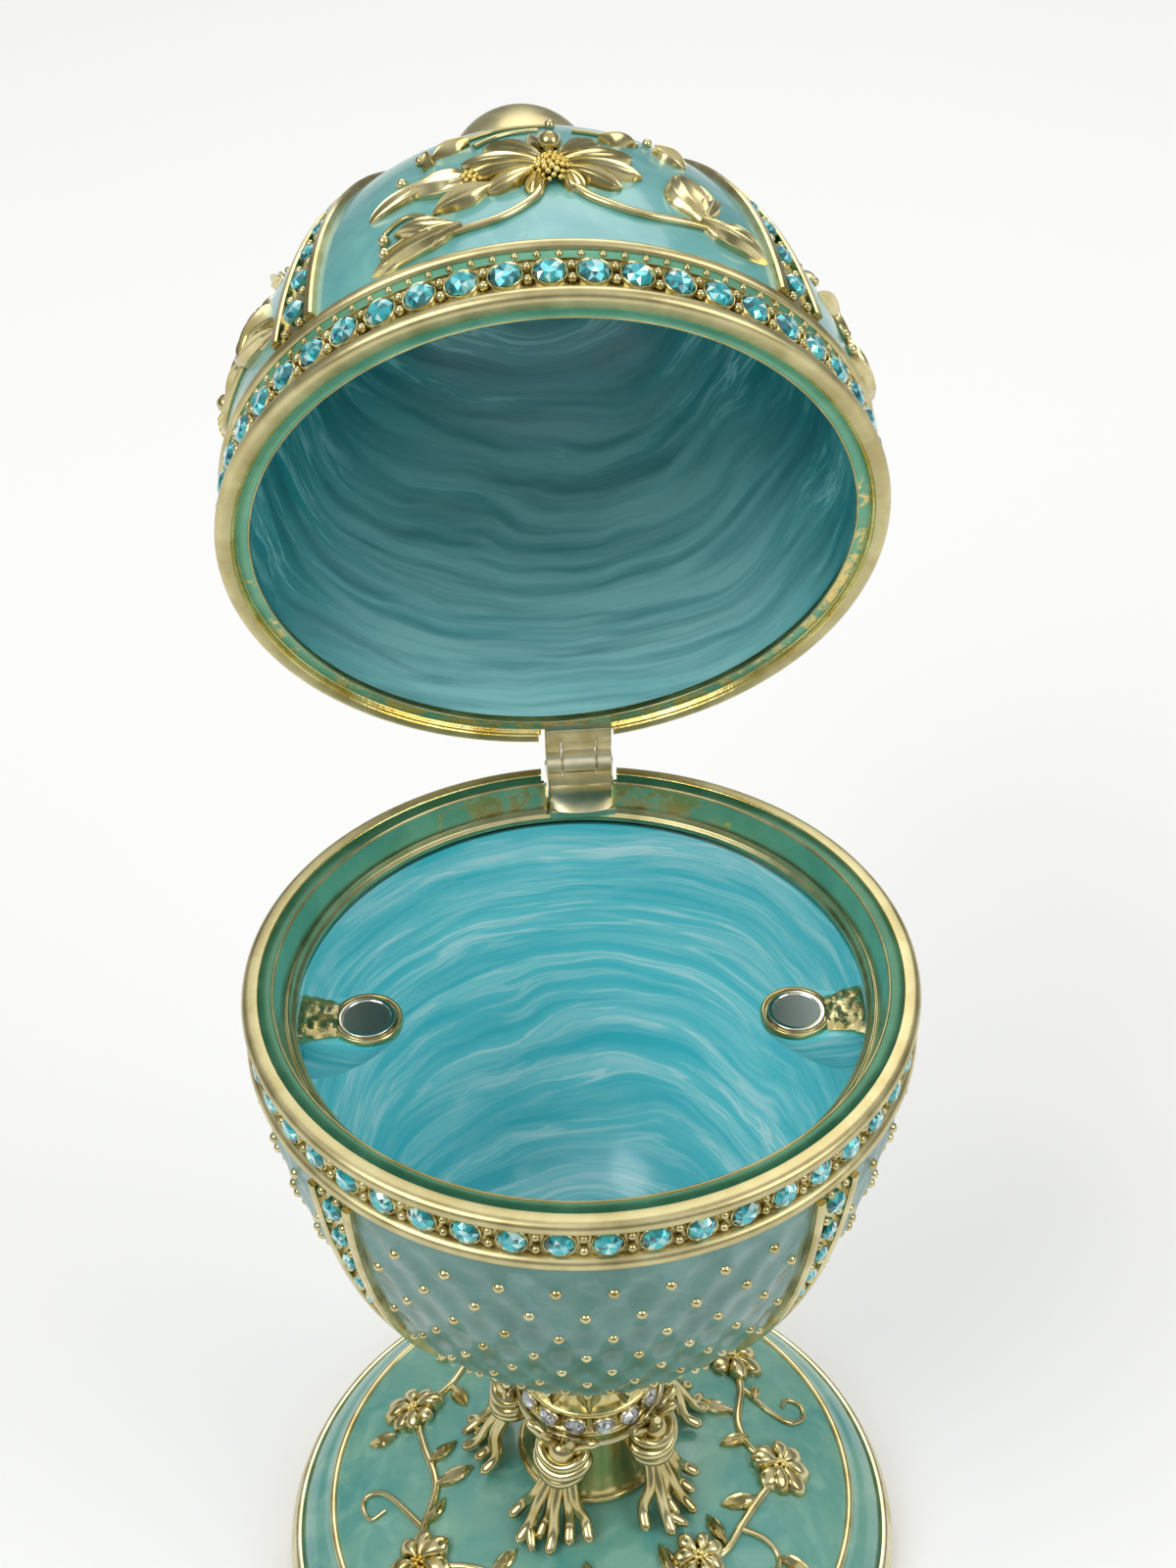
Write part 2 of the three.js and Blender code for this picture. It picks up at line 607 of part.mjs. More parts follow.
// The pin's axis is set a few degrees askew, which leaves the open lid turned to one side.
const hinge = new THREE.Group();
hinge.position.set(0, HINGE.y, RIM_Z + HINGE.z);
hinge.rotation.z = degrees(HINGE.skewDegrees);
hinge.add(mesh("hinge_leaf_bowl", bowlLeaf(), ...GOLD));
const pinHalf = HINGE.length / 2 + 0.1;
hinge.add(mesh("hinge_pin", barrel(PIN_RADIUS, 0, -pinHalf, pinHalf), ...GOLD));

const swing = new THREE.Group();
swing.rotation.x = -degrees(OPEN_DEGREES);
swing.add(mesh("hinge_leaf_lid", lidLeaf(), ...GOLD));
hinge.add(swing);

const seat = new THREE.Group();
seat.position.set(0, -HINGE.y, FIT_GAP - HINGE.z);
seat.position.applyAxisAngle(new THREE.Vector3(0, 0, 1), -degrees(HINGE.skewDegrees));
seat.rotation.z = -degrees(HINGE.skewDegrees);
seat.add(mesh("lid", lid(), ...ENAMEL.lid));
swing.add(seat);
egg.add(hinge);

export default egg;
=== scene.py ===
"""Jewelled egg trinket box: its looks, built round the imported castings.

A cast egg of enamelled and gilt alloy on a domed foot, standing open. All shapes are made in
millimetres, each in the frame of the casting it belongs to, and are brought to metres and to
their place in the box by one matrix for each frame.
"""

import json
import math
import random

import bmesh
import bpy
import numpy as np
from mathutils import Matrix, Vector
from mathutils.kdtree import KDTree


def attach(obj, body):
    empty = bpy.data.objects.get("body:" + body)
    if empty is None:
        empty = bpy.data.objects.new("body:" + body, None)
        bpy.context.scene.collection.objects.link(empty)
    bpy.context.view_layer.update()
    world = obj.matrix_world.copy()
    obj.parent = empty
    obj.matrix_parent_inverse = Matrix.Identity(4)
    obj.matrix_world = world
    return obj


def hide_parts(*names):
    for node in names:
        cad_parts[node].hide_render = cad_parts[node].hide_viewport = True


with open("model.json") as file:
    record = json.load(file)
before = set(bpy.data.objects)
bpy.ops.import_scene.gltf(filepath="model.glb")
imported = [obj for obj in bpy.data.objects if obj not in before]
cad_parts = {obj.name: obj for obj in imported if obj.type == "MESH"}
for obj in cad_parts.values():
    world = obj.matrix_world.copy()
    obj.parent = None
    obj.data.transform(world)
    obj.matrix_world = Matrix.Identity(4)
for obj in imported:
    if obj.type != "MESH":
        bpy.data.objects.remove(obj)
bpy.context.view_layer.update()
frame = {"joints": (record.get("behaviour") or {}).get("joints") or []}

# ---------------------------------------------------------------- frames

MM = 0.001
HINGE_JOINT = frame["joints"][0]
PIN_AT = Vector(HINGE_JOINT["pos_m"])
PIN_SKEW = math.atan2(HINGE_JOINT["axis"][1], HINGE_JOINT["axis"][0])
OPEN = math.radians(HINGE_JOINT["range_deg"][1])
RIM_Z = 85.0  # table to the bowl's rim
PIN_BELOW_RIM = RIM_Z - PIN_AT.z / MM
LID_LIFT = 0.3  # the shut lid's rim stands this far above the bowl's

TABLE = Matrix.Scale(MM, 4)
BOWL_RIM = TABLE @ Matrix.Translation((0, 0, RIM_Z))
PIN = Matrix.Translation(PIN_AT) @ Matrix.Rotation(PIN_SKEW, 4, "Z") @ TABLE
LID_PIN = PIN @ Matrix.Rotation(-OPEN, 4, "X")
UNTURN = Matrix.Rotation(-PIN_SKEW, 4, "Z")
LID_RIM = LID_PIN @ UNTURN @ Matrix.Translation((0, -PIN_AT.y / MM, LID_LIFT + PIN_BELOW_RIM))

# ---------------------------------------------------------------- nodes and finishes


def result(node):
    """A node's output: the first that its settings leave in use."""
    return next(socket for socket in node.outputs if socket.enabled)


def add(tree, kind, inputs=(), **settings):
    """Adds a node with its settings, and sets or links the inputs that are given."""
    node = tree.nodes.new(kind)
    for key, value in settings.items():
        setattr(node, key, value)
    feed(tree, node, inputs)
    return node


def feed(tree, node, inputs):
    """Sets or links a node's inputs, each named by its number, name or identifier."""
    for key, value in dict(inputs).items():
        socket = node.inputs[key] if isinstance(key, int) else next(
            s for s in node.inputs if s.enabled and key in (s.name, s.identifier))
        if isinstance(value, bpy.types.Node):
            value = result(value)
        if isinstance(value, bpy.types.NodeSocket):
            tree.links.new(value, socket)
        else:
            socket.default_value = value


def colour(code):
    """A linear colour from an sRGB hex value."""
    channels = [int(code[i:i + 2], 16) / 255 for i in (1, 3, 5)]
    return [c / 12.92 if c <= 0.04045 else ((c + 0.055) / 1.055) ** 2.4 for c in channels] + [1.0]


def new_finish(name, values):
    """A material with its shader's constant values set, and its node tree and shader."""
    material = bpy.data.materials.new(name)
    material.use_nodes = True
    tree = material.node_tree
    shader = tree.nodes["Principled BSDF"]
    feed(tree, shader, values)
    return material, tree, shader


def per_mm(size):
    """A texture's scale for features of this size in millimetres."""
    return 1 / (size * MM)


def place_of(tree):
    """The place on a piece that its patterns are drawn by."""
    return add(tree, "ShaderNodeTexCoord").outputs["Object"]


def gilt(name, low, high, rough, ripple_mm, ripple, metallic=1.0):
    """Gold flash over nickel on a zinc casting: bright, with soft ripples left by polishing."""
    material, tree, shader = new_finish(name, {"Metallic": metallic})
    place = place_of(tree)
    cloud = add(tree, "ShaderNodeTexNoise", {"Vector": place, "Scale": per_mm(3.5), "Detail": 4.0})
    share = add(tree, "ShaderNodeMapRange", {"Value": cloud, "From Min": 0.35, "From Max": 0.65})
    tint = add(tree, "ShaderNodeMix", {"Factor": share, "A": colour(low), "B": colour(high)},
               data_type="RGBA")
    ripples = add(tree, "ShaderNodeTexNoise",
                  {"Vector": place, "Scale": per_mm(ripple_mm), "Detail": 3.0})
    pits = add(tree, "ShaderNodeTexVoronoi", {"Vector": place, "Scale": per_mm(0.9)})
    speck = add(tree, "ShaderNodeMapRange", {"Value": pits, "From Min": 0.02, "From Max": 0.09})
    level = add(tree, "ShaderNodeMath", {0: speck, 1: 0.25, 2: ripples}, operation="MULTIPLY_ADD")
    bump = add(tree, "ShaderNodeBump", {"Height": level, "Strength": ripple, "Distance": 0.06 * MM})
    gloss = add(tree, "ShaderNodeMapRange", {
        "Value": cloud, "From Min": 0.3, "From Max": 0.7, "To Min": rough, "To Max": rough + 0.1})
    feed(tree, shader, {"Base Color": tint, "Roughness": gloss, "Normal": bump})
    return material


def stirred(tree, place, size, reach, detail, middle):
    """A place carried off by a slow drift, as pigment is when resin is stirred; sizes in mm."""
    drift = add(tree, "ShaderNodeTexNoise", {
        "Vector": place, "Scale": per_mm(size), "Detail": detail})
    centred = add(tree, "ShaderNodeVectorMath", {0: drift.outputs["Color"], 1: [middle] * 3},
                  operation="SUBTRACT")
    offset = add(tree, "ShaderNodeVectorMath", {0: centred, "Scale": reach * MM}, operation="SCALE")
    return result(add(tree, "ShaderNodeVectorMath", {0: place, 1: offset}, operation="ADD"))


def enamel(name, deep, pale, streak, cloud_mm, coat=0.7, hollow=None):
    """Epoxy enamel with pearl in it, poured into cells and domed by its own surface tension."""
    material, tree, shader = new_finish(name, {
        "Roughness": 0.36, "IOR": 1.5,
        "Coat Weight": coat, "Coat Roughness": 0.09, "Coat IOR": 1.5})
    place = place_of(tree)
    swept = stirred(tree, place, cloud_mm, cloud_mm * 0.9, 2.0, 0.0)
    cloud = add(tree, "ShaderNodeTexNoise", {
        "Vector": swept, "Scale": per_mm(cloud_mm * 0.8), "Detail": 5.0, "Roughness": 0.55})
    share = add(tree, "ShaderNodeMapRange", {"Value": cloud, "From Min": 0.32, "From Max": 0.68})
    tint = add(tree, "ShaderNodeMix", {"Factor": share, "A": colour(deep), "B": colour(pale)},
               data_type="RGBA")
    veil = add(tree, "ShaderNodeTexNoise", {
        "Vector": swept, "Scale": per_mm(cloud_mm * 0.45), "Detail": 3.0, "Distortion": 0.8})
    shine = add(tree, "ShaderNodeMapRange", {
        "Value": veil, "From Min": 0.5, "From Max": 0.76, "To Max": 0.45})
    tint = add(tree, "ShaderNodeMix", {"Factor": shine, "A": tint, "B": colour(streak)},
               data_type="RGBA")
    if hollow:
        # Darker and greener in the dips between the pillows, and more so lower down the bowl, as
        # the depth attribute says.
        depth = add(tree, "ShaderNodeAttribute", attribute_name="depth").outputs["Fac"]
        ragged = add(tree, "ShaderNodeMath", {0: veil, 1: 0.9, 2: depth}, operation="MULTIPLY_ADD")
        greener_in_dips = add(tree, "ShaderNodeMapRange", {
            "Value": ragged, "From Min": 0.72, "From Max": 1.3, "To Max": 0.95})
        tint = add(tree, "ShaderNodeMix", {"Factor": greener_in_dips, "A": tint, "B": colour(hollow)},
                   data_type="RGBA")
    sag = add(tree, "ShaderNodeTexNoise", {"Vector": place, "Scale": per_mm(4.5), "Detail": 1.0})
    bump = add(tree, "ShaderNodeBump", {"Height": sag, "Strength": 0.35, "Distance": 0.15 * MM})
    feed(tree, shader, {"Base Color": tint, "Coat Normal": bump})
    return material


def pearl_lining(name, deep, middle, streak, coat=0.7, painted_light_back=0.0):
    """Pearl pigment swirled into turquoise resin: the flakes line up in fine flowing streaks.

    It reads the piece's own flow attribute: across the hollow, and down its wall.
    """
    material, tree, shader = new_finish(name, {
        "Roughness": 0.34, "IOR": 1.5,
        "Coat Weight": coat, "Coat Roughness": 0.16, "Coat IOR": 1.5})
    place = swept = add(tree, "ShaderNodeAttribute", attribute_name="flow").outputs["Vector"]
    for size, reach in ((30, 13), (11, 3.0)):  # the stir of the resin, broad and then small, in mm
        swept = stirred(tree, swept, size, reach, 1.0, 0.5)
    # The streaks run round the hollow and are drawn out that way: some 12 mm long, 1 mm across.
    drawn = add(tree, "ShaderNodeVectorMath", {0: swept, 1: (0.07, 0.11, 1.0)},
                operation="MULTIPLY")
    broad = add(tree, "ShaderNodeTexNoise", {
        "Vector": drawn, "Scale": per_mm(3.0), "Detail": 3.0, "Roughness": 0.6, "Distortion": 0.3})
    fine = add(tree, "ShaderNodeTexNoise", {
        "Vector": drawn, "Scale": per_mm(1.5), "Detail": 3.0, "Roughness": 0.55, "Distortion": 0.3})
    depth = add(tree, "ShaderNodeMapRange", {"Value": broad, "From Min": 0.35, "From Max": 0.62})
    body = add(tree, "ShaderNodeMix", {"Factor": depth, "A": colour(deep), "B": colour(middle)},
               data_type="RGBA")
    # A streak is bright along the crest between two flows, and fades off to its sides.
    crest = add(tree, "ShaderNodeMath", {0: fine, 1: -0.5}, operation="ADD")
    crest = add(tree, "ShaderNodeMath", {0: crest}, operation="ABSOLUTE")
    thread = add(tree, "ShaderNodeMapRange", {
        "Value": crest, "From Min": 0.0, "From Max": 0.075, "To Min": 1.0, "To Max": 0.0},
        interpolation_type="SMOOTHSTEP")
    sheen = add(tree, "ShaderNodeMapRange", {
        "Value": fine, "From Min": 0.5, "From Max": 0.72, "To Max": 0.55})
    patch = add(tree, "ShaderNodeMapRange", {
        "Value": broad, "From Min": 0.44, "From Max": 0.68, "To Min": 0.12, "To Max": 0.95})
    both = add(tree, "ShaderNodeMath", {0: thread, 1: sheen}, operation="MAXIMUM")
    share = add(tree, "ShaderNodeMath", {0: both, 1: patch}, operation="MULTIPLY")
    if painted_light_back:
        # Painted light: the wall towards the hinge faces up to the light and is painted paler,
        # broken up by the fine streaks.
        back = add(tree, "ShaderNodeMapRange", {
            "Value": add(tree, "ShaderNodeSeparateXYZ", {"Vector": place}).outputs["Y"],
            "From Min": 1 * MM, "From Max": 26 * MM, "To Max": painted_light_back},
            interpolation_type="SMOOTHSTEP")
        painted_light_breakup = add(tree, "ShaderNodeMapRange", {
            "Value": fine, "From Min": 0.3, "From Max": 0.62, "To Min": 0.35, "To Max": 1.0})
        painted_light_share = add(tree, "ShaderNodeMath", {0: back, 1: painted_light_breakup}, operation="MULTIPLY")
        share = add(tree, "ShaderNodeMath", {0: share, 1: painted_light_share}, operation="MAXIMUM")
    tint = add(tree, "ShaderNodeMix", {"Factor": share, "A": body, "B": colour(streak)},
               data_type="RGBA")
    sag = add(tree, "ShaderNodeTexNoise", {"Vector": swept, "Scale": per_mm(7), "Detail": 1.0})
    bump = add(tree, "ShaderNodeBump", {"Height": sag, "Strength": 0.4, "Distance": 0.3 * MM})
    feed(tree, shader, {"Base Color": tint, "Coat Normal": bump})
    return material


def crystal(name, dark, body, flash):
    """Point-backed lead crystal on silver foil, its sparkle painted: each facet is given its own
    share of light as colour.
    """
    material, tree, shader = new_finish(name, {
        "Metallic": 0.35, "Roughness": 0.08, "IOR": 1.56, "Coat Weight": 1.0,
        "Coat Roughness": 0.0, "Coat IOR": 1.56})
    facet = add(tree, "ShaderNodeAttribute", attribute_name="facet").outputs["Fac"]
    spark = add(tree, "ShaderNodeAttribute", attribute_name="spark").outputs["Fac"]
    both = add(tree, "ShaderNodeMath", {0: facet, 1: spark}, operation="ADD")
    share = add(tree, "ShaderNodeMath", {0: both}, operation="FRACT")
    # Each facet's share picks its colour, from dark through the body colour to a white glint: all
    # painted light.
    lit = add(tree, "ShaderNodeMapRange", {"Value": share, "From Max": 0.55})
    glint = add(tree, "ShaderNodeMapRange", {"Value": share, "From Min": 0.76, "From Max": 0.97})
    low = add(tree, "ShaderNodeMix", {"Factor": lit, "A": colour(dark), "B": colour(body)},
              data_type="RGBA")
    tint = add(tree, "ShaderNodeMix", {"Factor": glint, "A": low, "B": colour(flash)},
               data_type="RGBA")
    feed(tree, shader, {"Base Color": tint})
    return material


def ragged_gold_patches(material, plain_gold):
    """Ragged patches near the hinge where the painted green reflection gives way to plain gold."""
    tree = material.node_tree
    shader = tree.nodes["Principled BSDF"]
    place = place_of(tree)
    ragged = add(tree, "ShaderNodeTexNoise", {
        "Vector": place, "Scale": per_mm(2.6), "Detail": 5.0, "Roughness": 0.7, "Distortion": 0.5})
    near = add(tree, "ShaderNodeMapRange", {
        "Value": add(tree, "ShaderNodeSeparateXYZ", {"Vector": place}).outputs["Y"],
        "From Min": 16 * MM, "From Max": 26 * MM, "To Max": 0.27})
    both = add(tree, "ShaderNodeMath", {0: ragged, 1: near}, operation="ADD")
    share = add(tree, "ShaderNodeMapRange", {"Value": both, "From Min": 0.74, "From Max": 0.82})
    painted_reflection = shader.inputs["Base Color"].links[0].from_socket
    tint = add(tree, "ShaderNodeMix", {"Factor": share, "A": painted_reflection, "B": colour(plain_gold)},
               data_type="RGBA")
    metal = add(tree, "ShaderNodeMapRange", {
        "Value": share, "To Min": shader.inputs["Metallic"].default_value, "To Max": 1.0})
    feed(tree, shader, {"Base Color": tint, "Metallic": metal})
    return material


# Gold flash on cast work, on polished and stamped fittings, on barrelled rims, on what was left
# as cast and on fine granulation: each of them spreads its shine and ripples in its own way.
GILT = gilt("gold_plated_zinc_casting", "#B6A76F", "#DDD2A2", 0.15, 1.6, 0.25)
GILT_BRIGHT = gilt("gold_plated_polished_fitting", "#CDC193", "#EBE3C2", 0.2, 5.0, 0.12)
GILT_STAMPED = gilt("gold_plated_stamped_hinge", "#D8CDA4", "#F2EBD0", 0.33, 5.0, 0.12)
GILT_SATIN = gilt("gold_plated_barrelled_rim", "#B5A877", "#D4C998", 0.27, 5.0, 0.12)
GILT_ROUGH = gilt("gold_plated_as_cast", "#BCAB6A", "#ECE0AC", 0.2, 0.55, 1.0)
GRAIN_GOLD = gilt("yellow_gold_granulation", "#DDBB58", "#F8E8A0", 0.2, 0.5, 0.6)
LID_ENAMEL = enamel("aqua_pearl_enamel", "#489A9C", "#69B0AA", "#86C4BE", 9)
BOWL_ENAMEL = enamel(
    "grey_teal_pearl_enamel", "#2C6C62", "#4A857B", "#78A2A8", 7, 0.5, "#1B5A42")
FOOT_ENAMEL = enamel("sea_green_pearl_enamel", "#47928B", "#74A892", "#98C6B2", 9)
BOWL_LINING = pearl_lining("turquoise_pearl_resin", "#46C6D2", "#80DEE4", "#E6FAFA")
# The lid's copy of the same resin has darker colours. This is painted shade inside the dome, which
# faces down, and it is painted paler towards the hinge.
LID_LINING = pearl_lining(
    "turquoise_pearl_resin_in_lid", "#04727A", "#159AA0", "#A6E2E3", 0.22, 0.9)
BLUE_STONE = crystal("aquamarine_foiled_crystal", "#0A505C", "#22B6BE", "#DCFFFA")
CLEAR_STONE = crystal("clear_foiled_crystal", "#6E7276", "#C9CDD2", "#FFFFFF")


def nickel(name, code, rough):
    """Nickel over iron-boron powder: a thin bright plate, a little clouded by handling."""
    material, tree, shader = new_finish(name, {"Metallic": 1.0, "Base Color": colour(code)})
    haze = add(tree, "ShaderNodeTexNoise", {
        "Vector": place_of(tree), "Scale": per_mm(2), "Detail": 5.0})
    gloss = add(tree, "ShaderNodeMapRange", {
        "Value": haze, "To Min": rough, "To Max": rough + 0.12})
    feed(tree, shader, {"Roughness": gloss})
    return material


NICKEL = nickel("bright_nickel_plate", "#E4E2DA", 0.08)
# The face's grey-green tint is painted reflection of the teal lining, while its duller, rougher
# polish is its own.
NICKEL_FACE_PAINTED_REFLECTION = nickel("dark_nickel_face", "#8C9894", 0.28)
# Painted reflection on the gold of the inner steps, the green of the linings mirrored there:
# darkest in the sharp step, where it is also painted shade, and paler on the cove.
GILT_PAINTED_DARK_REFLECTION = gilt("gold_under_thick_green_lacquer", "#336A4C", "#447A5A", 0.18, 4.0, 0.1, 0.4)
GILT_PAINTED_GREEN_REFLECTION = ragged_gold_patches(
    gilt("gold_under_thin_green_lacquer", "#65A88A", "#78B696", 0.16, 6.0, 0.1, 0.45), "#E4CC84")

# ---------------------------------------------------------------- meshes


def placed(name, data):
    """An object in the scene, for a mesh, a lamp or a camera."""
    thing = bpy.data.objects.new(name, data)
    bpy.context.scene.collection.objects.link(thing)
    return thing


def write(mesh, label, values, domain="POINT"):
    """Writes a number or a vector on each point, or each face, of a mesh."""
    values = np.array(values, np.float32)
    kind, key = ("FLOAT_VECTOR", "vector") if values.ndim == 2 else ("FLOAT", "value")
    mesh.attributes.new(label, kind, domain).data.foreach_set(key, values.ravel())


def mesh_made_of(thing):
    """The plain mesh that an object's modifiers make."""
    bpy.context.view_layer.update()
    made = thing.evaluated_get(bpy.context.evaluated_depsgraph_get())
    return bpy.data.meshes.new_from_object(made)


def mesh_from(name, points, edges=(), faces=()):
    """A mesh as it comes, from its points and its edges or faces."""
    mesh = bpy.data.meshes.new(name)
    mesh.from_pydata([tuple(map(float, p)) for p in points], edges, [tuple(f) for f in faces])
    return mesh


def piece_from(name, points, faces, material, sharp=38):
    """A mesh object with its doubles merged, its faces outwards and its hard edges marked."""
    mesh = mesh_from(name, points, faces=faces)
    work = bmesh.new()
    work.from_mesh(mesh)
    bmesh.ops.remove_doubles(work, verts=work.verts, dist=1e-4)
    bmesh.ops.dissolve_degenerate(work, edges=work.edges, dist=1e-5)
    bmesh.ops.recalc_face_normals(work, faces=work.faces)
    for face in work.faces:
        face.smooth = True
    for edge in work.edges:
        edge.smooth = len(edge.link_faces) != 2 or edge.calc_face_angle(0) < math.radians(sharp)
    work.to_mesh(mesh)
    work.free()
    mesh.materials.append(material)
    return placed(name, mesh)


def settle(piece, place, body, slot, *stands_for):
    """Brings a finished piece to its place in metres, and says what it belongs to."""
    piece.data.transform(place)
    piece.data.update()
    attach(piece, body)
    if stands_for:
        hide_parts(*stands_for)
    return piece


def combined(*shapes):
    """Several shapes as one list of points and one of faces."""
    points, faces = [], []
    for more_points, more_faces in shapes:
        faces += [[i + len(points) for i in face] for face in more_faces]
        points += [tuple(p) for p in more_points]
    return points, faces


def turned(profile, sides=256):
    """A form of revolution. Its profile runs from axis to axis, or closes on itself as a ring."""
    points, rings, faces = [], [], []
    for radius, height in profile:
        if radius < 1e-6:
            rings.append([len(points)] * sides)
            points.append((0, 0, height))
            continue
        rings.append(list(range(len(points), len(points) + sides)))
        angles = [2 * math.pi * j / sides for j in range(sides)]
        points += [(radius * math.sin(a), -radius * math.cos(a), height) for a in angles]
    pairs = list(zip(rings, rings[1:]))
    if profile[0][0] >= 1e-6:
        pairs.append((rings[-1], rings[0]))
    for low, high in pairs:
        for j in range(sides):
            k = (j + 1) % sides
            face = list(dict.fromkeys([low[j], low[k], high[k], high[j]]))
            if len(face) > 2:
                faces.append(face)
    return points, faces


def softened(profile, reach, steps):
    """Rounds each inner corner of a profile, which lets a worn metal edge catch the light."""
    out = [profile[0]]
    for before, corner, after in zip(profile, profile[1:], profile[2:]):
        corner = np.array(corner, float)
        ends = []
        for other in (np.array(before, float), np.array(after, float)):
            gap = np.linalg.norm(other - corner)
            ends.append(corner + (other - corner) * min(reach, 0.45 * gap) / gap)
        for k in range(steps + 1):
            t = k / steps
            out.append(tuple((1 - t) ** 2 * ends[0] + 2 * t * (1 - t) * corner + t * t * ends[1]))
    return out + [profile[-1]]


def arc(radius, height, size, first, last, steps=10):
    """Points on a round bead of a profile, its angles in degrees from straight outwards."""
    angles = [math.radians(first + (last - first) * i / steps) for i in range(steps + 1)]
    return [(radius + size * math.cos(a), height + size * math.sin(a)) for a in angles]


def loft(rings):
    """A skin over rings of the same number of points, each joined round, with its ends closed."""
    count = len(rings[0])
    points = [tuple(p) for ring in rings for p in ring]
    faces = []
    for i in range(len(rings) - 1):
        for j in range(count):
            k = (j + 1) % count
            faces.append([i * count + j, i * count + k, (i + 1) * count + k, (i + 1) * count + j])
    faces.append(list(range(count))[::-1])
    faces.append([len(points) - count + j for j in range(count)])
    return points, faces


def block(width, depth, height, x, y, z, edge=0.15):
    """A bar with rounded edges."""
    work = bmesh.new()
    bmesh.ops.create_cube(work, size=1, matrix=Matrix.Translation((x, y, z)) @ Matrix.Diagonal(
        (width, depth, height, 1)))
    bmesh.ops.bevel(work, geom=work.edges[:], offset=edge, segments=2, affect="EDGES")
    shape = ([tuple(v.co) for v in work.verts], [[v.index for v in f.verts] for f in work.faces])
    work.free()
    return shape


def barrel(radius, first, last, sides=40, edge=0.12):
    """A round bar along X, with its ends eased."""
    profile = [(0, first), (radius - edge, first), (radius, first + edge),
               (radius, last - edge), (radius - edge, last), (0, last)]
    points, faces = turned(profile, sides)
    return [(z, x, y) for x, y, z in points], faces


# ---------------------------------------------------------------- skins and what lies on them

BOWL = {"radius": 29.7, "depth": 46.5}
DOME = {"radius": 29.8, "height": 41.4, "bulge": 2.28, "rise": 2.19}
KNOB = {"radius": 8.1, "top": 56.2, "foot": 9.0, "fullness": 2.4}
LID_TURN = 3.5  # degrees that the lid casting sits turned on its hinge
FOOT = {"sphere": 54.0, "top": 15.9, "ring": 28.3}


def bowl_radius(z):
    """The bowl is half an ellipsoid, its heights counted down from its rim."""
    return BOWL["radius"] * np.sqrt(np.maximum(0, 1 - (np.asarray(z) / BOWL["depth"]) ** 2))


def dome_radius(z):
    """The dome is a fuller egg end, its heights counted up from the lid's rim."""
    share = np.maximum(0, 1 - (np.asarray(z) / DOME["height"]) ** DOME["rise"])
    return DOME["radius"] * share ** (1 / DOME["bulge"])


def foot_height(radius):
    """The foot is a shallow cap of a sphere."""
    return FOOT["top"] - FOOT["sphere"] + np.sqrt(FOOT["sphere"] ** 2 - np.asarray(radius) ** 2)


def meridian(radius, height):
    """A table of arc length, radius, height and slope, from the bottom of a skin to its top."""
    arc_length = np.concatenate([[0], np.cumsum(np.hypot(np.diff(radius), np.diff(height)))])
    return {"arc": arc_length, "r": radius, "z": height,
            "dr": np.gradient(radius, arc_length), "dz": np.gradient(height, arc_length)}


SPREAD = np.sin(np.linspace(0, math.pi / 2, 900))
BOWL_SKIN = meridian(bowl_radius(-BOWL["depth"] * SPREAD[::-1]), -BOWL["depth"] * SPREAD[::-1])
DOME_SKIN = meridian(dome_radius(DOME["height"] * SPREAD), DOME["height"] * SPREAD)


def laid_on(skin, azimuth, place, points):
    """Bends flat points onto a skin: x across, y up the meridian, z out of the surface.

    The flat origin lands at an azimuth, in degrees from the front, and at a height.
    """
    x, y, out = np.array(points, float).T
    along = np.interp(place, skin["z"], skin["arc"]) + y
    radius, height, dr, dz = (
        np.interp(along, skin["arc"], skin[k]) for k in ("r", "z", "dr", "dz"))
    angle = math.radians(azimuth) + x / np.maximum(radius, 1.0)
    reach = radius + out * dz
    return np.stack([reach * np.sin(angle), -reach * np.cos(angle), height - out * dr], -1)


def facing_out(skin, azimuth, place):
    """The way out of a skin at an azimuth and a height."""
    here, out = laid_on(skin, azimuth, place, [(0, 0, 0), (0, 0, 1)])
    return here, out - here


def smooth_line(points, steps):
    """A smooth line through points, by Catmull-Rom, with evenly shared steps."""
    p = np.array(points, float)
    p = np.concatenate([[2 * p[0] - p[1]], p, [2 * p[-1] - p[-2]]])
    out = []
    spans = len(p) - 3
    for i in range(steps * spans + 1):
        k = min(i // steps, spans - 1)
        t = i / steps - k
        a, b, c, d = p[k:k + 4]
        out.append(0.5 * (2 * b + (c - a) * t + (2 * a - 5 * b + 4 * c - d) * t * t
                          + (3 * b - a - 3 * c + d) * t ** 3))
    return np.array(out)


# ---------------------------------------------------------------- trees that repeat and follow


def new_tree(name, *sockets):
    """A geometry tree with a geometry input and output, and its named inputs."""
    tree = bpy.data.node_groups.new(name, "GeometryNodeTree")
    tree.interface.new_socket("Geometry", in_out="OUTPUT", socket_type="NodeSocketGeometry")
    tree.interface.new_socket("Geometry", in_out="INPUT", socket_type="NodeSocketGeometry")
    for label, kind in sockets:
        tree.interface.new_socket(label, in_out="INPUT", socket_type="NodeSocket" + kind)
    return tree, add(tree, "NodeGroupInput").outputs


def close_tree(tree, geometry, material):
    """Ends a tree the way that every tree ends: real meshes, in their finish."""
    real = add(tree, "GeometryNodeRealizeInstances", {"Geometry": geometry})
    done = add(tree, "GeometryNodeSetMaterial", {"Geometry": real, "Material": material})
    add(tree, "NodeGroupOutput", {"Geometry": done})


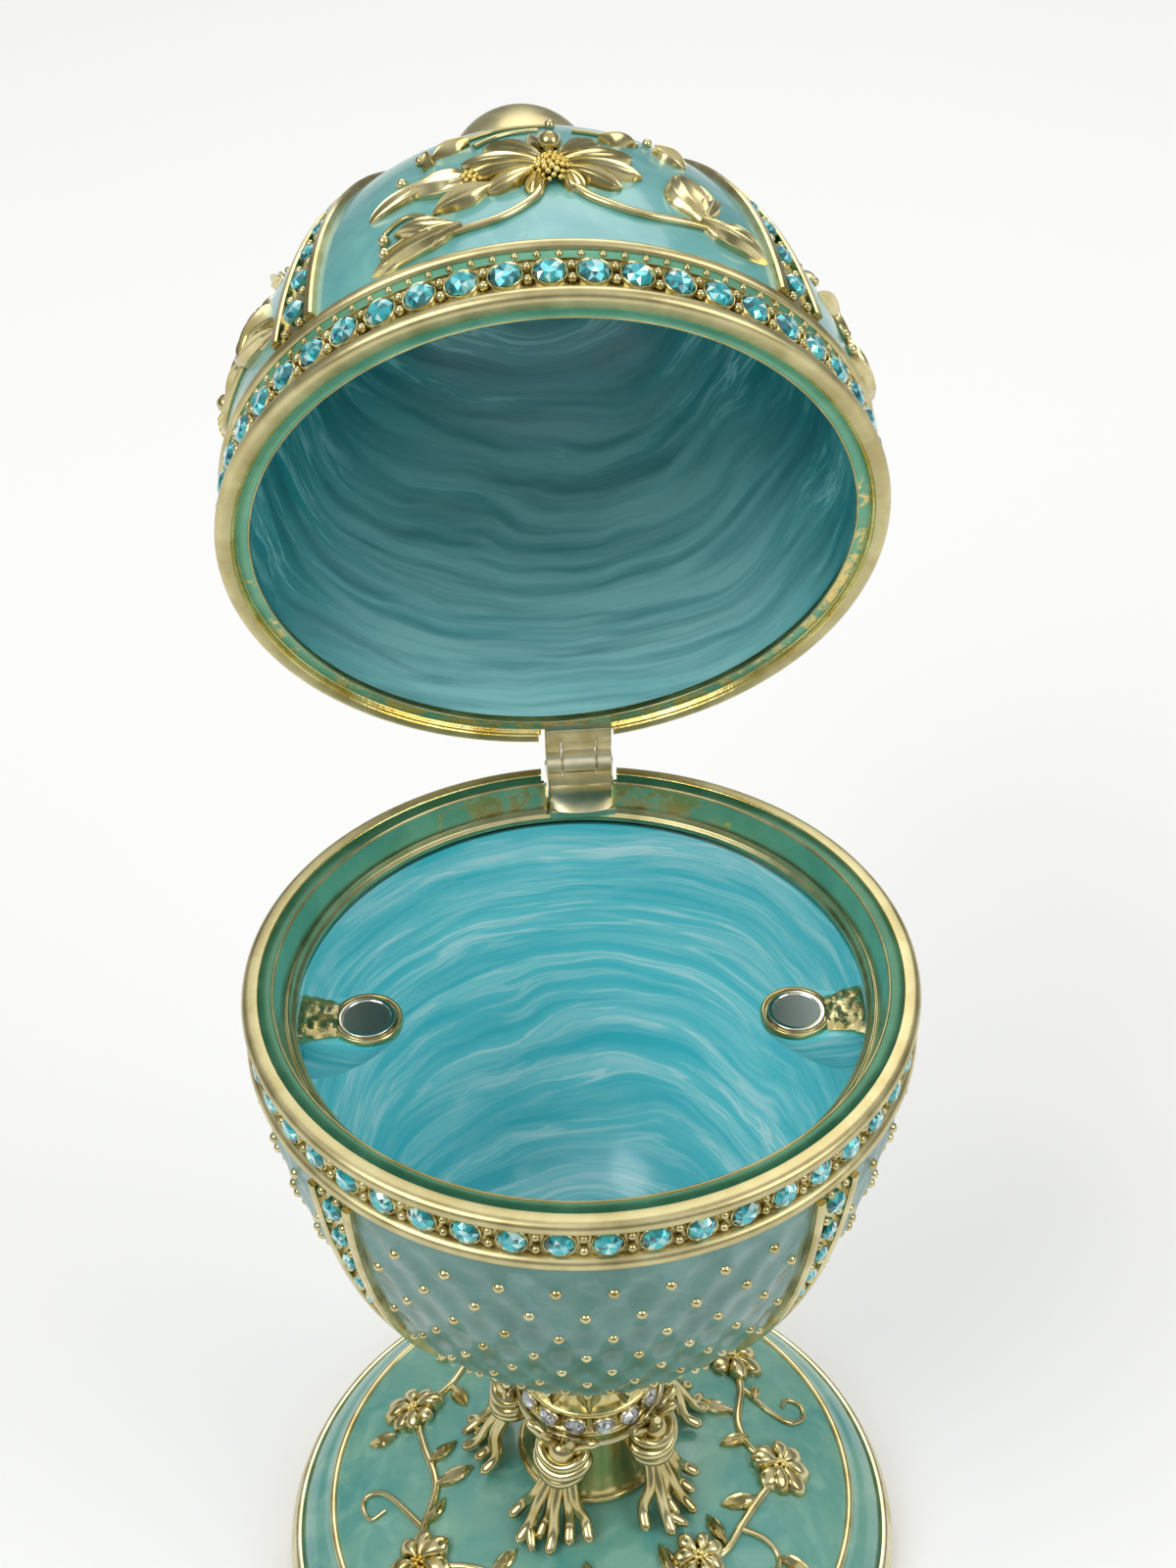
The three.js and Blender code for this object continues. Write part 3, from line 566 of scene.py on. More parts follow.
def repeat_round_tree():
    """Copies of one shape, evenly round the axis."""
    tree, given = new_tree("repeat_round", ("Count", "Int"), ("First Angle", "Float"),
                           ("Finish", "Material"))
    turn = add(tree, "ShaderNodeMath", {0: 2 * math.pi, 1: given["Count"]}, operation="DIVIDE")
    angle = add(tree, "ShaderNodeMath", {
        0: add(tree, "GeometryNodeInputIndex"), 1: turn, 2: given["First Angle"]},
        operation="MULTIPLY_ADD")
    spin = add(tree, "FunctionNodeAxisAngleToRotation", {"Axis": (0, 0, 1), "Angle": angle})
    copies = add(tree, "GeometryNodeInstanceOnPoints", {
        "Points": add(tree, "GeometryNodePoints", {"Count": given["Count"]}),
        "Instance": given["Geometry"], "Rotation": spin})
    close_tree(tree, copies, given["Finish"])
    return tree


def seat(tree, points, size, given):
    """Seats the given object on points, facing their way and spun by chance on its own axis."""
    shape = add(tree, "GeometryNodeObjectInfo", {"Object": given["Seated"], "As Instance": False})
    facing = add(tree, "GeometryNodeInputNamedAttribute", {"Name": "facing"},
                 data_type="FLOAT_VECTOR")
    upright = add(tree, "FunctionNodeAlignRotationToVector", {"Vector": facing}, axis="Z")
    chance = add(tree, "FunctionNodeRandomValue", {
        "Min_001": -math.pi, "Max_001": math.pi, "Seed": given["Seed"]}, data_type="FLOAT")
    spin = add(tree, "FunctionNodeAxisAngleToRotation", {"Axis": (0, 0, 1), "Angle": chance})
    stance = add(tree, "FunctionNodeRotateRotation", {
        "Rotation": upright, "Rotate By": spin}, rotation_space="LOCAL")
    seated = add(tree, "GeometryNodeInstanceOnPoints", {
        "Points": points, "Instance": shape.outputs["Geometry"], "Rotation": stance,
        "Scale": size})
    # A random shift of each copy's painted sparkle.
    painted_sparkle_shift = add(tree, "FunctionNodeRandomValue", {
        "Min_001": 0.0, "Max_001": 0.34, "Seed": given["Seed"]}, data_type="FLOAT")
    return add(tree, "GeometryNodeStoreNamedAttribute", {
        "Geometry": seated, "Name": "spark", "Value": painted_sparkle_shift}, data_type="FLOAT", domain="INSTANCE")


def set_in_ring_tree():
    """Stones or beads set round a turned channel, left out where the hinge's notch comes."""
    tree, given = new_tree(
        "set_in_ring", ("Count", "Int"), ("Start", "Float"), ("Radius", "Float"),
        ("Height", "Float"), ("Tilt", "Float"), ("Size", "Float"), ("Hinge Gap", "Float"),
        ("Seed", "Int"), ("Seated", "Object"), ("Finish", "Material"))
    step = add(tree, "ShaderNodeMath", {0: 2 * math.pi, 1: given["Count"]}, operation="DIVIDE")
    number = add(tree, "ShaderNodeMath", {
        0: add(tree, "GeometryNodeInputIndex"), 1: given["Start"]}, operation="ADD")
    angle = add(tree, "ShaderNodeMath", {0: number, 1: step}, operation="MULTIPLY")
    sine = add(tree, "ShaderNodeMath", {0: angle}, operation="SINE")
    cosine = add(tree, "ShaderNodeMath", {0: angle}, operation="COSINE")
    forward = add(tree, "ShaderNodeMath", {0: cosine, 1: -1.0}, operation="MULTIPLY")
    outwards = add(tree, "ShaderNodeCombineXYZ", {"X": sine, "Y": forward})
    level = add(tree, "ShaderNodeCombineXYZ", {"Z": given["Height"]})
    spot = add(tree, "ShaderNodeVectorMath", {0: outwards, 1: given["Radius"], 2: level},
               operation="MULTIPLY_ADD")
    facing = add(tree, "ShaderNodeVectorMath", {
        0: outwards, 1: add(tree, "ShaderNodeCombineXYZ", {"Z": given["Tilt"]})}, operation="ADD")
    row = add(tree, "GeometryNodePoints", {"Count": given["Count"]})
    from_back = add(tree, "ShaderNodeMath", {0: angle, 1: -math.pi}, operation="ADD")
    from_back = add(tree, "ShaderNodeMath", {0: from_back}, operation="ABSOLUTE")
    in_gap = add(tree, "ShaderNodeMath", {0: from_back, 1: given["Hinge Gap"]},
                 operation="LESS_THAN")
    ring = add(tree, "GeometryNodeSetPosition", {"Geometry": row, "Position": spot})
    faced = add(tree, "GeometryNodeStoreNamedAttribute", {
        "Geometry": ring, "Name": "facing", "Value": facing},
        data_type="FLOAT_VECTOR", domain="POINT")
    kept = add(tree, "GeometryNodeDeleteGeometry", {"Geometry": faced, "Selection": in_gap},
               domain="POINT")
    close_tree(tree, seat(tree, kept, given["Size"], given), given["Finish"])
    return tree


def set_on_points_tree():
    """Stones, studs or beads set on given points, each facing the point's way, at its size."""
    tree, given = new_tree("set_on_points", ("Size", "Float"), ("Seed", "Int"),
                           ("Seated", "Object"), ("Finish", "Material"))
    own = add(tree, "GeometryNodeInputNamedAttribute", {"Name": "size"}, data_type="FLOAT")
    size = add(tree, "ShaderNodeMath", {0: own, 1: given["Size"]}, operation="MULTIPLY")
    points = add(tree, "GeometryNodeMeshToPoints", {"Mesh": given["Geometry"]})
    close_tree(tree, seat(tree, points, size, given), given["Finish"])
    return tree


def wire_tree():
    """Round wires along paths, each as thick at a point as the path says."""
    tree, given = new_tree("wire_along", ("Thickness", "Float"), ("Sides", "Int"),
                           ("Finish", "Material"))
    own = add(tree, "GeometryNodeInputNamedAttribute", {"Name": "size"}, data_type="FLOAT")
    size = add(tree, "ShaderNodeMath", {0: own, 1: given["Thickness"]}, operation="MULTIPLY")
    section = add(tree, "GeometryNodeCurvePrimitiveCircle", {
        "Resolution": given["Sides"], "Radius": 0.5}, mode="RADIUS")
    line = add(tree, "GeometryNodeMeshToCurve", {"Mesh": given["Geometry"]})
    tube = add(tree, "GeometryNodeCurveToMesh", {
        "Curve": line, "Profile Curve": section, "Scale": size, "Fill Caps": True})
    smooth = add(tree, "GeometryNodeSetShadeSmooth", {"Geometry": tube, "Shade Smooth": True})
    close_tree(tree, smooth, given["Finish"])
    return tree


REPEAT_ROUND = repeat_round_tree()
SET_IN_RING = set_in_ring_tree()
SET_ON_POINTS = set_on_points_tree()
WIRE_ALONG = wire_tree()


def grown(name, tree, values, source=None):
    """Runs a tree over a source mesh, or over nothing, and keeps the plain mesh it makes."""
    if source is None:
        source = placed(name + "_source", bpy.data.meshes.new(name + "_source"))
    growth = source.modifiers.new("growth", "NODES")
    growth.node_group = tree
    sockets = {s.name: s.identifier for s in tree.interface.items_tree if s.in_out == "INPUT"}
    for label, value in values.items():
        growth[sockets[label]] = value
    mesh = mesh_made_of(source)
    mesh.name = name
    source.modifiers.remove(growth)
    bpy.data.objects.remove(source)
    return placed(name, mesh)


def seats(name, places):
    """A cloud of points for a tree to seat things on: (point, facing, size) each."""
    points, facings, sizes = zip(*places)
    mesh = mesh_from(name, points)
    write(mesh, "facing", facings)
    write(mesh, "size", sizes)
    return placed(name, mesh)


def paths(name, lines):
    """Paths for the wire tree: (points, thickness) each, where a thickness may be one or many."""
    points, edges, sizes = [], [], []
    for line, greener_in_dips in lines:
        edges += [(len(points) + i, len(points) + i + 1) for i in range(len(line) - 1)]
        points += list(line)
        sizes += list(np.broadcast_to(greener_in_dips, len(line)))
    mesh = mesh_from(name, points, edges)
    write(mesh, "size", sizes)
    return placed(name, mesh)


def wires(name, lines, finish, sides=8):
    """Wires of one finish along lines, each given with its thickness in millimetres."""
    return grown(name, WIRE_ALONG, {"Thickness": 1.0, "Sides": sides, "Finish": finish},
                 paths(name + "_paths", lines))


def set_on(name, places, seated, finish, seed=3):
    """Small shapes seated on places, each given as a point, the way out and a size."""
    return grown(name, SET_ON_POINTS, {
        "Size": 1.0, "Seed": seed, "Seated": seated, "Finish": finish},
        seats(name + "_seats", places))


def set_ring(name, seated, finish, count, radius, height, size, start=0.5, tilt=0.0, gap=0.0,
             seed=5):
    """Small shapes seated evenly round a ring, with a gap in degrees left at the hinge."""
    return grown(name, SET_IN_RING, {
        "Count": count, "Start": start, "Radius": float(radius), "Height": float(height),
        "Tilt": tilt, "Size": float(size), "Hinge Gap": math.radians(gap), "Seed": seed,
        "Seated": seated, "Finish": finish})


def round_axis(piece, count, first, finish):
    """Repeats a piece round the axis from a first azimuth in degrees."""
    return grown(piece.name, REPEAT_ROUND, {
        "Count": count, "First Angle": math.radians(first), "Finish": finish}, piece)


# ---------------------------------------------------------------- small seated shapes


def cut_stone():
    """A round brilliant of unit radius: an eight-sided table, sixteen crown facets, a girdle."""
    # Rings of eight corners from the table down: radius, height and turn from the table's own.
    rings = [(0.56, 0.4, 0), (0.82, 0.24, math.pi / 8), (1.0, 0.0, 0), (0.9, -0.35, 0)]
    points = [(radius * math.cos(math.pi / 4 * j + turn), radius * math.sin(math.pi / 4 * j + turn),
               height) for radius, height, turn in rings for j in range(8)]
    points += [(0, 0, 0.33), (0, 0, -0.35)]
    faces = []
    for j in range(8):
        k = (j + 1) % 8
        faces += [[j, k, 32], [j, 8 + j, k], [j, 16 + j, 8 + j], [16 + j, 16 + k, 8 + j],
                  [k, 8 + j, 16 + k], [16 + j, 24 + j, 24 + k, 16 + k], [33, 24 + k, 24 + j]]
    mesh = mesh_from("cut_stone", points, faces=faces)
    chance = random.Random(4)
    # A random share of painted light for each facet.
    painted_facet_light = [chance.random() for _ in mesh.polygons]
    write(mesh, "facet", painted_facet_light, "FACE")
    return placed("cut_stone", mesh)


def bead(sides=10, rings=4):
    """A round bead of unit radius, closed and sunk to a third of its height."""
    profile = [(0, -0.5)] + [
        (math.cos(a), math.sin(a)) for a in np.linspace(math.radians(-30), math.radians(70), rings)
    ] + [(0, 1.0)]
    return piece_from("bead", *turned(profile, sides), GILT, sharp=80)


STONE = cut_stone()
BEAD = bead()

# ---------------------------------------------------------------- bowl: rim, enamel, ribs, studs

CHANNEL = 28.95  # radius of the floor of both stone channels
NOTCH = {"ears": 7.5, "lip": 6.4}  # widths cut in the rims for the hinge
RIM_SIDES = 320
BOWL_SIDES = 384  # fine enough for the pillows between the studs
ENAMEL_LIFT = 0.02  # how far enamel stands off the skin that all relief is laid on
PANELS = 4
FIRST_RIB = 45
RIB = {"wide": 5.2, "narrow": 1.3, "height": 0.75, "floor": 0.12, "wire": 0.9, "root": -0.6}


def cut_box(piece, width, y0, y1, z0, z1):
    """Cuts a box out of a piece."""
    box = block(width, y1 - y0, z1 - z0, 0, (y0 + y1) / 2, (z0 + z1) / 2, 0.3)
    cutter = piece_from("cutter", *box, GILT)
    cut = piece.modifiers.new("notch", "BOOLEAN")
    cut.object, cut.operation, cut.solver = cutter, "DIFFERENCE", "EXACT"
    mesh = mesh_made_of(piece)
    piece.modifiers.clear()
    piece.data = mesh
    bpy.data.objects.remove(cutter)
    return piece


def finish_bands(rim, *bands):
    """Puts finishes on bands of a rim's steps, painted reflections among them, each given by its
    finish, radii and heights.
    """
    for index, (finish, inner, outer, low, high) in enumerate(bands, 1):
        rim.data.materials.append(finish)
        for face in rim.data.polygons:
            if inner < face.center.to_2d().length < outer and low < face.center.z < high:
                face.material_index = index


def bowl_rim():
    """The rolled rim, its inner steps, the stone channel and the wire below it, as one casting."""
    profile = (
        arc(29.3, -4.95, 0.72, -80, 80) + softened(
            [(29.0, -4.15), (CHANNEL, -4.1), (CHANNEL, -1.65), (29.2, -1.5)], 0.08, 2)
        + arc(29.35, -0.72, 0.7, -75, 85)
        + softened([
            (28.62, 0.0), (28.56, -0.14), (27.4, -0.22), (27.36, -0.06), (27.2, -0.06),
            (27.1, -0.3), (26.5, -2.5), (26.3, -2.55), (26.2, -2.3), (26.0, -2.35),
            (25.85, -2.9), (25.5, -3.1), (25.5, -3.6), (28.6, -6.0)], 0.07, 2))
    rim = piece_from("bowl_rim", *turned(profile, RIM_SIDES), GILT_SATIN, 30)
    cut_box(rim, NOTCH["ears"], 27.3, 34, -3.2, 1)
    cut_box(rim, NOTCH["lip"], 25.2, 28, -3.2, 1)
    # The green bands are painted reflection of the linings on the gold, and the deepest is also
    # painted shade.
    finish_bands(rim, (GRAIN_GOLD, 28.53, 28.64, -0.14, -0.005),
              (GILT_PAINTED_DARK_REFLECTION, 27.43, 28.53, -0.3, -0.1),
              (GILT_PAINTED_GREEN_REFLECTION, 26.5, 27.12, -2.5, -0.32))
    return settle(rim, BOWL_RIM, "box", "gilt", "bowl")


STUD = {"pitch": 4.75, "size": 0.56, "shrink": 0.02, "clear": 0.8, "ribs_from": -5.3,
        "rows": [-9, -12.7, -16.4, -20.1, -23.7, -27.2, -30.6, -33.9, -37, -39.8]}
QUILT = {"top": -6.2, "bottom": -40, "depth": 0.19, "sink": 0.06}
# Each rib narrows away from its rim: two flat-topped wires with stones and beads in the hollow
# between. A stone is given by its height and its size.
BOWL_RIB = {"ends": (-5.9, -41), "stones": [
    (-7.7, 1.1), (-11.5, 1.0), (-15.1, 0.88), (-18.5, 0.74), (-21.5, 0.6)]}
LID_RIB = {"ends": (6.9, 38.3), "stones": [
    (9.3, 1.15), (13.5, 1.05), (17.6, 0.95), (21.5, 0.8), (25.0, 0.66)]}


def rib_width(height, first, last):
    """A rib's whole width at a height between its two ends."""
    return RIB["wide"] + (RIB["narrow"] - RIB["wide"]) * (height - first) / (last - first)


def stud_pitch(radius):
    """Studs stand closer together lower down, where the bowl is narrower."""
    return STUD["pitch"] * (0.35 + 0.65 * radius / BOWL["radius"])


def stud_places():
    """Rows of studs over each panel, every second row set half a pitch over."""
    places = []
    for row, z in enumerate(STUD["rows"]):
        radius = float(bowl_radius(z))
        half_rib = rib_width(z, STUD["ribs_from"], BOWL_RIB["ends"][1]) / 2
        reach = math.radians(FIRST_RIB) * radius - half_rib - STUD["clear"]
        size = STUD["size"] - STUD["shrink"] * row
        pitch = stud_pitch(radius)
        across = [pitch * (k + (0.5 if row % 2 == 0 else 0)) for k in range(8)]
        for panel in range(PANELS):
            for x in across:
                for side in (-1, 1) if x else (1,):
                    if x < reach:
                        azimuth = 90 * panel + side * math.degrees(x / radius)
                        places.append((*facing_out(BOWL_SKIN, azimuth, z), size))
    return places


def bowl_enamel():
    """The bowl's enamel: a skin over the casting, swelling into pillows between the studs."""
    heights = np.concatenate([-BOWL["depth"] * np.cos(np.radians(np.arange(2, 42, 1.6))),
                              np.linspace(-34.2, -5.7, 96)])
    outer = [(float(bowl_radius(z)) + ENAMEL_LIFT, float(z)) for z in heights]
    inner = [(float(bowl_radius(z)) - 1.1, float(z) + 0.2) for z in heights[::-6] if z > -45]
    points, faces = turned([(0, -46.48)] + outer + inner + [(0, -45.2)], BOWL_SIDES)
    rows, top, bottom = STUD["rows"], QUILT["top"], QUILT["bottom"]
    row_pitch = (rows[0] - rows[8]) / 8
    pulled, depths = [], []
    for x, y, z in points:
        radius = math.hypot(x, y)
        depth = 0.0
        if radius > float(bowl_radius(z)) - 0.5 and bottom < z < top:
            azimuth = math.degrees(math.atan2(x, -y))
            across = math.radians((azimuth + 45) % 90 - 45) * radius
            quilt = (math.cos(2 * math.pi * across / stud_pitch(radius))
                     * math.cos(math.pi * (z - rows[0]) / row_pitch))
            ease = min(1, (top - z) / 2) * min(1, (z - bottom) / 3)
            sink = 1 - ease * (QUILT["depth"] * quilt + QUILT["sink"]) / radius
            x, y = x * sink, y * sink
            depth = ease * (0.5 + 0.5 * quilt) * min(1, max(0.15, (-6 - z) / 18))
        pulled.append((x, y, z))
        depths.append(depth)
    skin = piece_from("bowl_enamel", pulled, faces, BOWL_ENAMEL)
    # Merging doubles renumbers the points, so each takes the depth of the one that it came from.
    near = KDTree(len(pulled))
    for k, point in enumerate(pulled):
        near.insert(point, k)
    near.balance()
    write(skin.data, "depth", [depths[near.find(v.co)[1]] for v in skin.data.vertices])
    return settle(skin, BOWL_RIM, "box", "bowl_enamel")


def rib_piece(name, skin, ends, first=FIRST_RIB):
    """One rib, laid on its skin over the front, then repeated round the axis."""
    top = RIB["height"]
    rings = []
    for height in np.linspace(*ends, 56):
        half = rib_width(height, *ends) / 2
        hollow = half - min(RIB["wire"], half * 0.9)
        low = RIB["floor"] + max(0, 1 - hollow / 0.5) * 0.3
        side = [(hollow - 0.02, low), (hollow, top - 0.16), (hollow + 0.14, top),
                (half - 0.18, top), (half, top - 0.2), (half, RIB["root"])]
        section = [(-x, out) for x, out in side[::-1]] + [(0, low)] + side
        rings.append(laid_on(skin, 0, height, [(x, 0, out) for x, out in section]))
    piece = piece_from(name, *loft(rings), GILT, 30)
    return round_axis(piece, PANELS, first, GILT)


def rib_stones(name, skin, rib, seed, first=FIRST_RIB):
    """The stones in the ribs, and the pairs of small beads that hold them."""
    stones, beads = [], []
    heights = [z for z, _ in rib["stones"]]
    between = [(a + b) / 2 for a, b in zip(heights, heights[1:])]
    step = (heights[-1] - heights[-2]) * 0.6
    for panel in range(PANELS):
        azimuth = first + 90 * panel
        for z, size in rib["stones"]:
            here, out = facing_out(skin, azimuth, z)
            stones.append((here + out * 0.45, out, size))
        for z in between + [heights[-1] + step, heights[0] - step]:
            half = rib_width(z, *rib["ends"]) / 2 - RIB["wire"]
            _, out = facing_out(skin, azimuth, z)
            for side in (-1, 1):
                spot = laid_on(skin, azimuth, z, [(side * max(half * 0.55, 0.3), 0, 0.3)])[0]
                beads.append((spot, out, 0.42 if half > 0.8 else 0.3))
    return (set_on(name + "_stones", stones, STONE, BLUE_STONE, seed=seed),
            set_on(name + "_beads", beads, BEAD, GILT, seed=seed))


def stone_bezel():
    """A thin cup edge of unit radius, standing round each stone."""
    ring = [(1.02, -0.3), (1.2, -0.3), (1.2, 0.05), (1.12, 0.14), (1.02, 0.08)]
    return piece_from("bezel", *turned(ring, 16), GILT, 60)


BEZEL = stone_bezel()

bowl_rim()
bowl_enamel()
settle(rib_piece("bowl_ribs", BOWL_SKIN, BOWL_RIB["ends"]), BOWL_RIM, "box", "gilt")
for piece, slot in zip(rib_stones("bowl_rib", BOWL_SKIN, BOWL_RIB, 7), ("blue_stone", "gilt")):
    settle(piece, BOWL_RIM, "box", slot)
settle(set_on("bowl_studs", stud_places(), BEAD, GILT), BOWL_RIM, "box", "gilt")

BOWL_ROW = {"count": 48, "z": -2.87, "size": 1.22, "gap": 9.0}
LID_ROW = {"count": 52, "z": 3.45, "size": 1.32, "gap": 0.0}
PRONG = {"size": 0.42, "up": 0.72}
SEATED = {"stone": 0.42, "cup": 0.32, "prong": 0.3}  # how far each stands off the channel's floor


def stone_row(name, row, place, body, seed):
    """A channel's stones in their cups, with a pair of small prongs between each two."""
    z, size = row["z"], row["size"]
    sets = {"count": row["count"], "gap": row["gap"], "seed": seed}
    settle(set_ring(name + "_stones", STONE, BLUE_STONE, radius=CHANNEL + SEATED["stone"], height=z,
                    size=size, **sets), place, body, "blue_stone")
    settle(set_ring(name + "_cups", BEZEL, GILT, radius=CHANNEL + SEATED["cup"], height=z,
                    size=size * 0.97, **sets), place, body, "gilt")
    for mark, up in (("upper", PRONG["up"]), ("lower", -PRONG["up"])):
        prongs = set_ring(f"{name}_{mark}_prongs", BEAD, GILT, radius=CHANNEL + SEATED["prong"],
                          height=z + up, size=PRONG["size"], start=0.0, **sets)
        settle(prongs, place, body, "gilt")


stone_row("bowl_rim", BOWL_ROW, BOWL_RIM, "box", 21)

# ---------------------------------------------------------------- linings, magnets

# A lining ends at a ledge under its rim, given as an angle off the hollow's axis.
LINING = {"radius": 25.6, "depth": 43.8, "fullness": 2.3, "ledge": 86.2, "sides": 300}
LID_HOLLOW = {"radius": 27.3, "height": 38.9, "ledge": 88.3}
MAGNET = {"x": 19.4, "radius": 2.6, "thickness": 1.6, "top": -5.7}
POST = 3.15  # radius of a magnet's post at its top


def unrolled(piece, profile):
    """Writes the flow attribute: across the hollow on two axes, and down its wall on the third."""
    heights = np.array([z for _, z in profile])
    run = np.concatenate([[0], np.cumsum(np.hypot(*np.diff(np.array(profile), axis=0).T))])
    order = np.argsort(heights)
    at = np.array([vertex.co for vertex in piece.data.vertices])
    down = np.interp(at[:, 2], heights[order], run[order])
    write(piece.data, "flow", np.column_stack([at[:, :2], down]) * MM)
    return piece


def hollow(radius, depth, bulge, rise, first, steps=90):
    """Points down a hollow's wall, from an angle off the axis to the axis itself."""
    angles = [math.radians(first - first * i / steps) for i in range(steps)]
    return [(radius * math.sin(a) ** (2 / bulge), depth * math.cos(a) ** (2 / rise))
            for a in angles] + [(0, depth)]


def magnet_post(side):
    """A bracket that bellies out of the bowl's wall, round towards the middle, for one magnet."""
    rings = []
    wall = LINING["radius"] + 0.6
    turns = np.linspace(0, 2 * math.pi, 48, endpoint=False)
    for share in np.linspace(0, 0.99, 22):
        middle = MAGNET["x"] + 6.2 * share ** 1.35
        size = (POST + 0.22) * (1 - share ** 2.4) ** 0.5 - 0.2 * math.exp(-share / 0.03)
        ring = []
        for a in turns:
            to_wall = math.cos(a) > 0
            across = math.cos(a) * (max(0.3, wall - middle) if to_wall else size)
            squared = math.copysign(abs(math.sin(a)) ** (0.5 if to_wall else 1), math.sin(a))
            ring.append((side * (middle + across), size * squared,
                         MAGNET["top"] - 0.4 - 6.3 * share))
        rings.append(ring)
    return loft(rings)


def bowl_lining():
    """The lining, poured up to the ledge, with the two magnet posts standing out of its wall."""
    depth, fullness = LINING["depth"], LINING["fullness"]
    inner = hollow(LINING["radius"], -depth, fullness, fullness, LINING["ledge"])
    wall = [(r + 0.9, z - 0.4) for r, z in inner[:-1:6]][::-1]
    points, faces = turned([(0, -depth - 1.1)] + wall + inner, LINING["sides"])
    shape = combined((points, faces), magnet_post(-1), magnet_post(1))
    lining = piece_from("bowl_lining", *shape, BOWL_LINING, 50)
    return settle(unrolled(lining, inner), BOWL_RIM, "box", "pearl_lining")


def magnets():
    """Two disc magnets with bright turned edges, each in its gold cup on a cast web."""
    top = MAGNET["top"]
    for name, side in (("magnet_left", -1), ("magnet_right", 1)):
        r, base = MAGNET["radius"], top - MAGNET["thickness"] + 0.1
        profile = softened([(r, base), (r, top + 0.1), (r - 0.42, top + 0.1)], 0.12, 3)
        rim = turned([(0, base)] + profile + [(r - 0.5, top + 0.02), (0, top + 0.02)], 96)
        disc = piece_from(name + "_disc", *rim, NICKEL, 40)
        disc.data.materials.append(NICKEL_FACE_PAINTED_REFLECTION)
        for face in disc.data.polygons:
            flat = face.normal.z > 0.99 and face.center.to_2d().length < r - 0.47
            face.material_index = 1 if flat else 0
        at = Matrix.Translation((side * MAGNET["x"], 0, 0))
        settle(disc, BOWL_RIM @ at, "box", "nickel", name)
        dish = [(0, top - 0.32), (r + 0.26, top - 0.3), (r + 0.26, top - 0.02),
                (POST - 0.02, top + 0.05), (POST + 0.16, top - 0.25), (POST + 0.05, top - 1.0),
                (0, top - 1.0)]
        cup = piece_from(name + "_cup", *turned(softened(dish, 0.08, 3), 96), GILT, 40)
        settle(cup, BOWL_RIM @ at, "box", "gilt")
        web = piece_from(name + "_web", *cast_web(side), GILT_ROUGH, 30)
        settle(web, BOWL_RIM, "box", "gilt")


def cast_web(side):
    """The flat bar from a cup to the ledge, left rough as it came out of the mould."""
    chance = random.Random(31 + side)
    rings = []
    for share in np.linspace(0, 1, 15):
        x = MAGNET["x"] + POST - 0.5 + 4.6 * share
        half = 2.25 + 1.2 * share ** 1.2 + chance.uniform(-0.12, 0.12)
        top = MAGNET["top"] + 0.12 + 0.5 * share + 2.6 * max(0, share - 0.72)
        spread = np.linspace(-1, 1, 13)
        face = [(side * x, v * half, top - 0.35 * abs(v) ** 4 + chance.uniform(-0.15, 0.15))
                for v in spread]
        under = [(side * x, v * half * 0.9, MAGNET["top"] - 0.6) for v in (1, 0, -1)]
        rings.append(face + under)
    return loft(rings)


bowl_lining()
magnets()

# ---------------------------------------------------------------- lid


def lid_rim():
    """The lid's rolled rim, its channel and the two wires above it."""
    profile = (
        softened([
            (27.9, 2.6), (27.6, 1.4), (27.1, 0.95), (26.93, 0.8), (26.96, 0.56), (27.12, 0.56),
            (27.16, 0.66), (28.12, 0.64), (28.22, 0.5), (28.3, 0.2), (28.5, 0.2),
            (28.6, 0.02)], 0.05, 2)
        + arc(29.3, 0.72, 0.72, -90, 72)
        + softened([(29.2, 1.6), (CHANNEL, 1.7), (CHANNEL, 5.0), (29.25, 5.05), (29.3, 5.9)],
                   0.08, 2)
        + arc(29.2, 6.45, 0.6, -70, 95)
        + [(28.6, 6.9), (28.0, 4.0)])
    rim = piece_from("lid_rim", *turned(profile, RIM_SIDES), GILT_SATIN, 30)
    cut_box(rim, NOTCH["ears"], 28.0, 34, -1, 1.9)
    # The green bands are painted reflection on the gold.
    finish_bands(rim, (GRAIN_GOLD, 28.14, 28.58, 0.05, 0.63), (GILT_PAINTED_GREEN_REFLECTION, 27.14, 28.14, 0.6, 0.7),
              (GILT_PAINTED_GREEN_REFLECTION, 28.9, 29.3, 5.06, 5.8))
    return settle(rim, LID_RIM, "lid", "gilt", "lid")


def lid_enamel():
    """The dome's enamel, a skin between the ribs, the rim wire and the knob."""
    heights = np.concatenate([np.linspace(6.6, 31.5, 60), DOME["height"] * np.sin(
        np.radians(np.linspace(50.5, 79, 24)))])
    outer = [(float(dome_radius(z)) + ENAMEL_LIFT, float(z)) for z in heights]
    inner = [(r * 0.965, z - 0.9) for r, z in outer[::-5]]
    skin = piece_from("lid_enamel", *turned(outer + inner, RIM_SIDES), LID_ENAMEL)
    return settle(skin, LID_RIM, "lid", "lid_enamel")


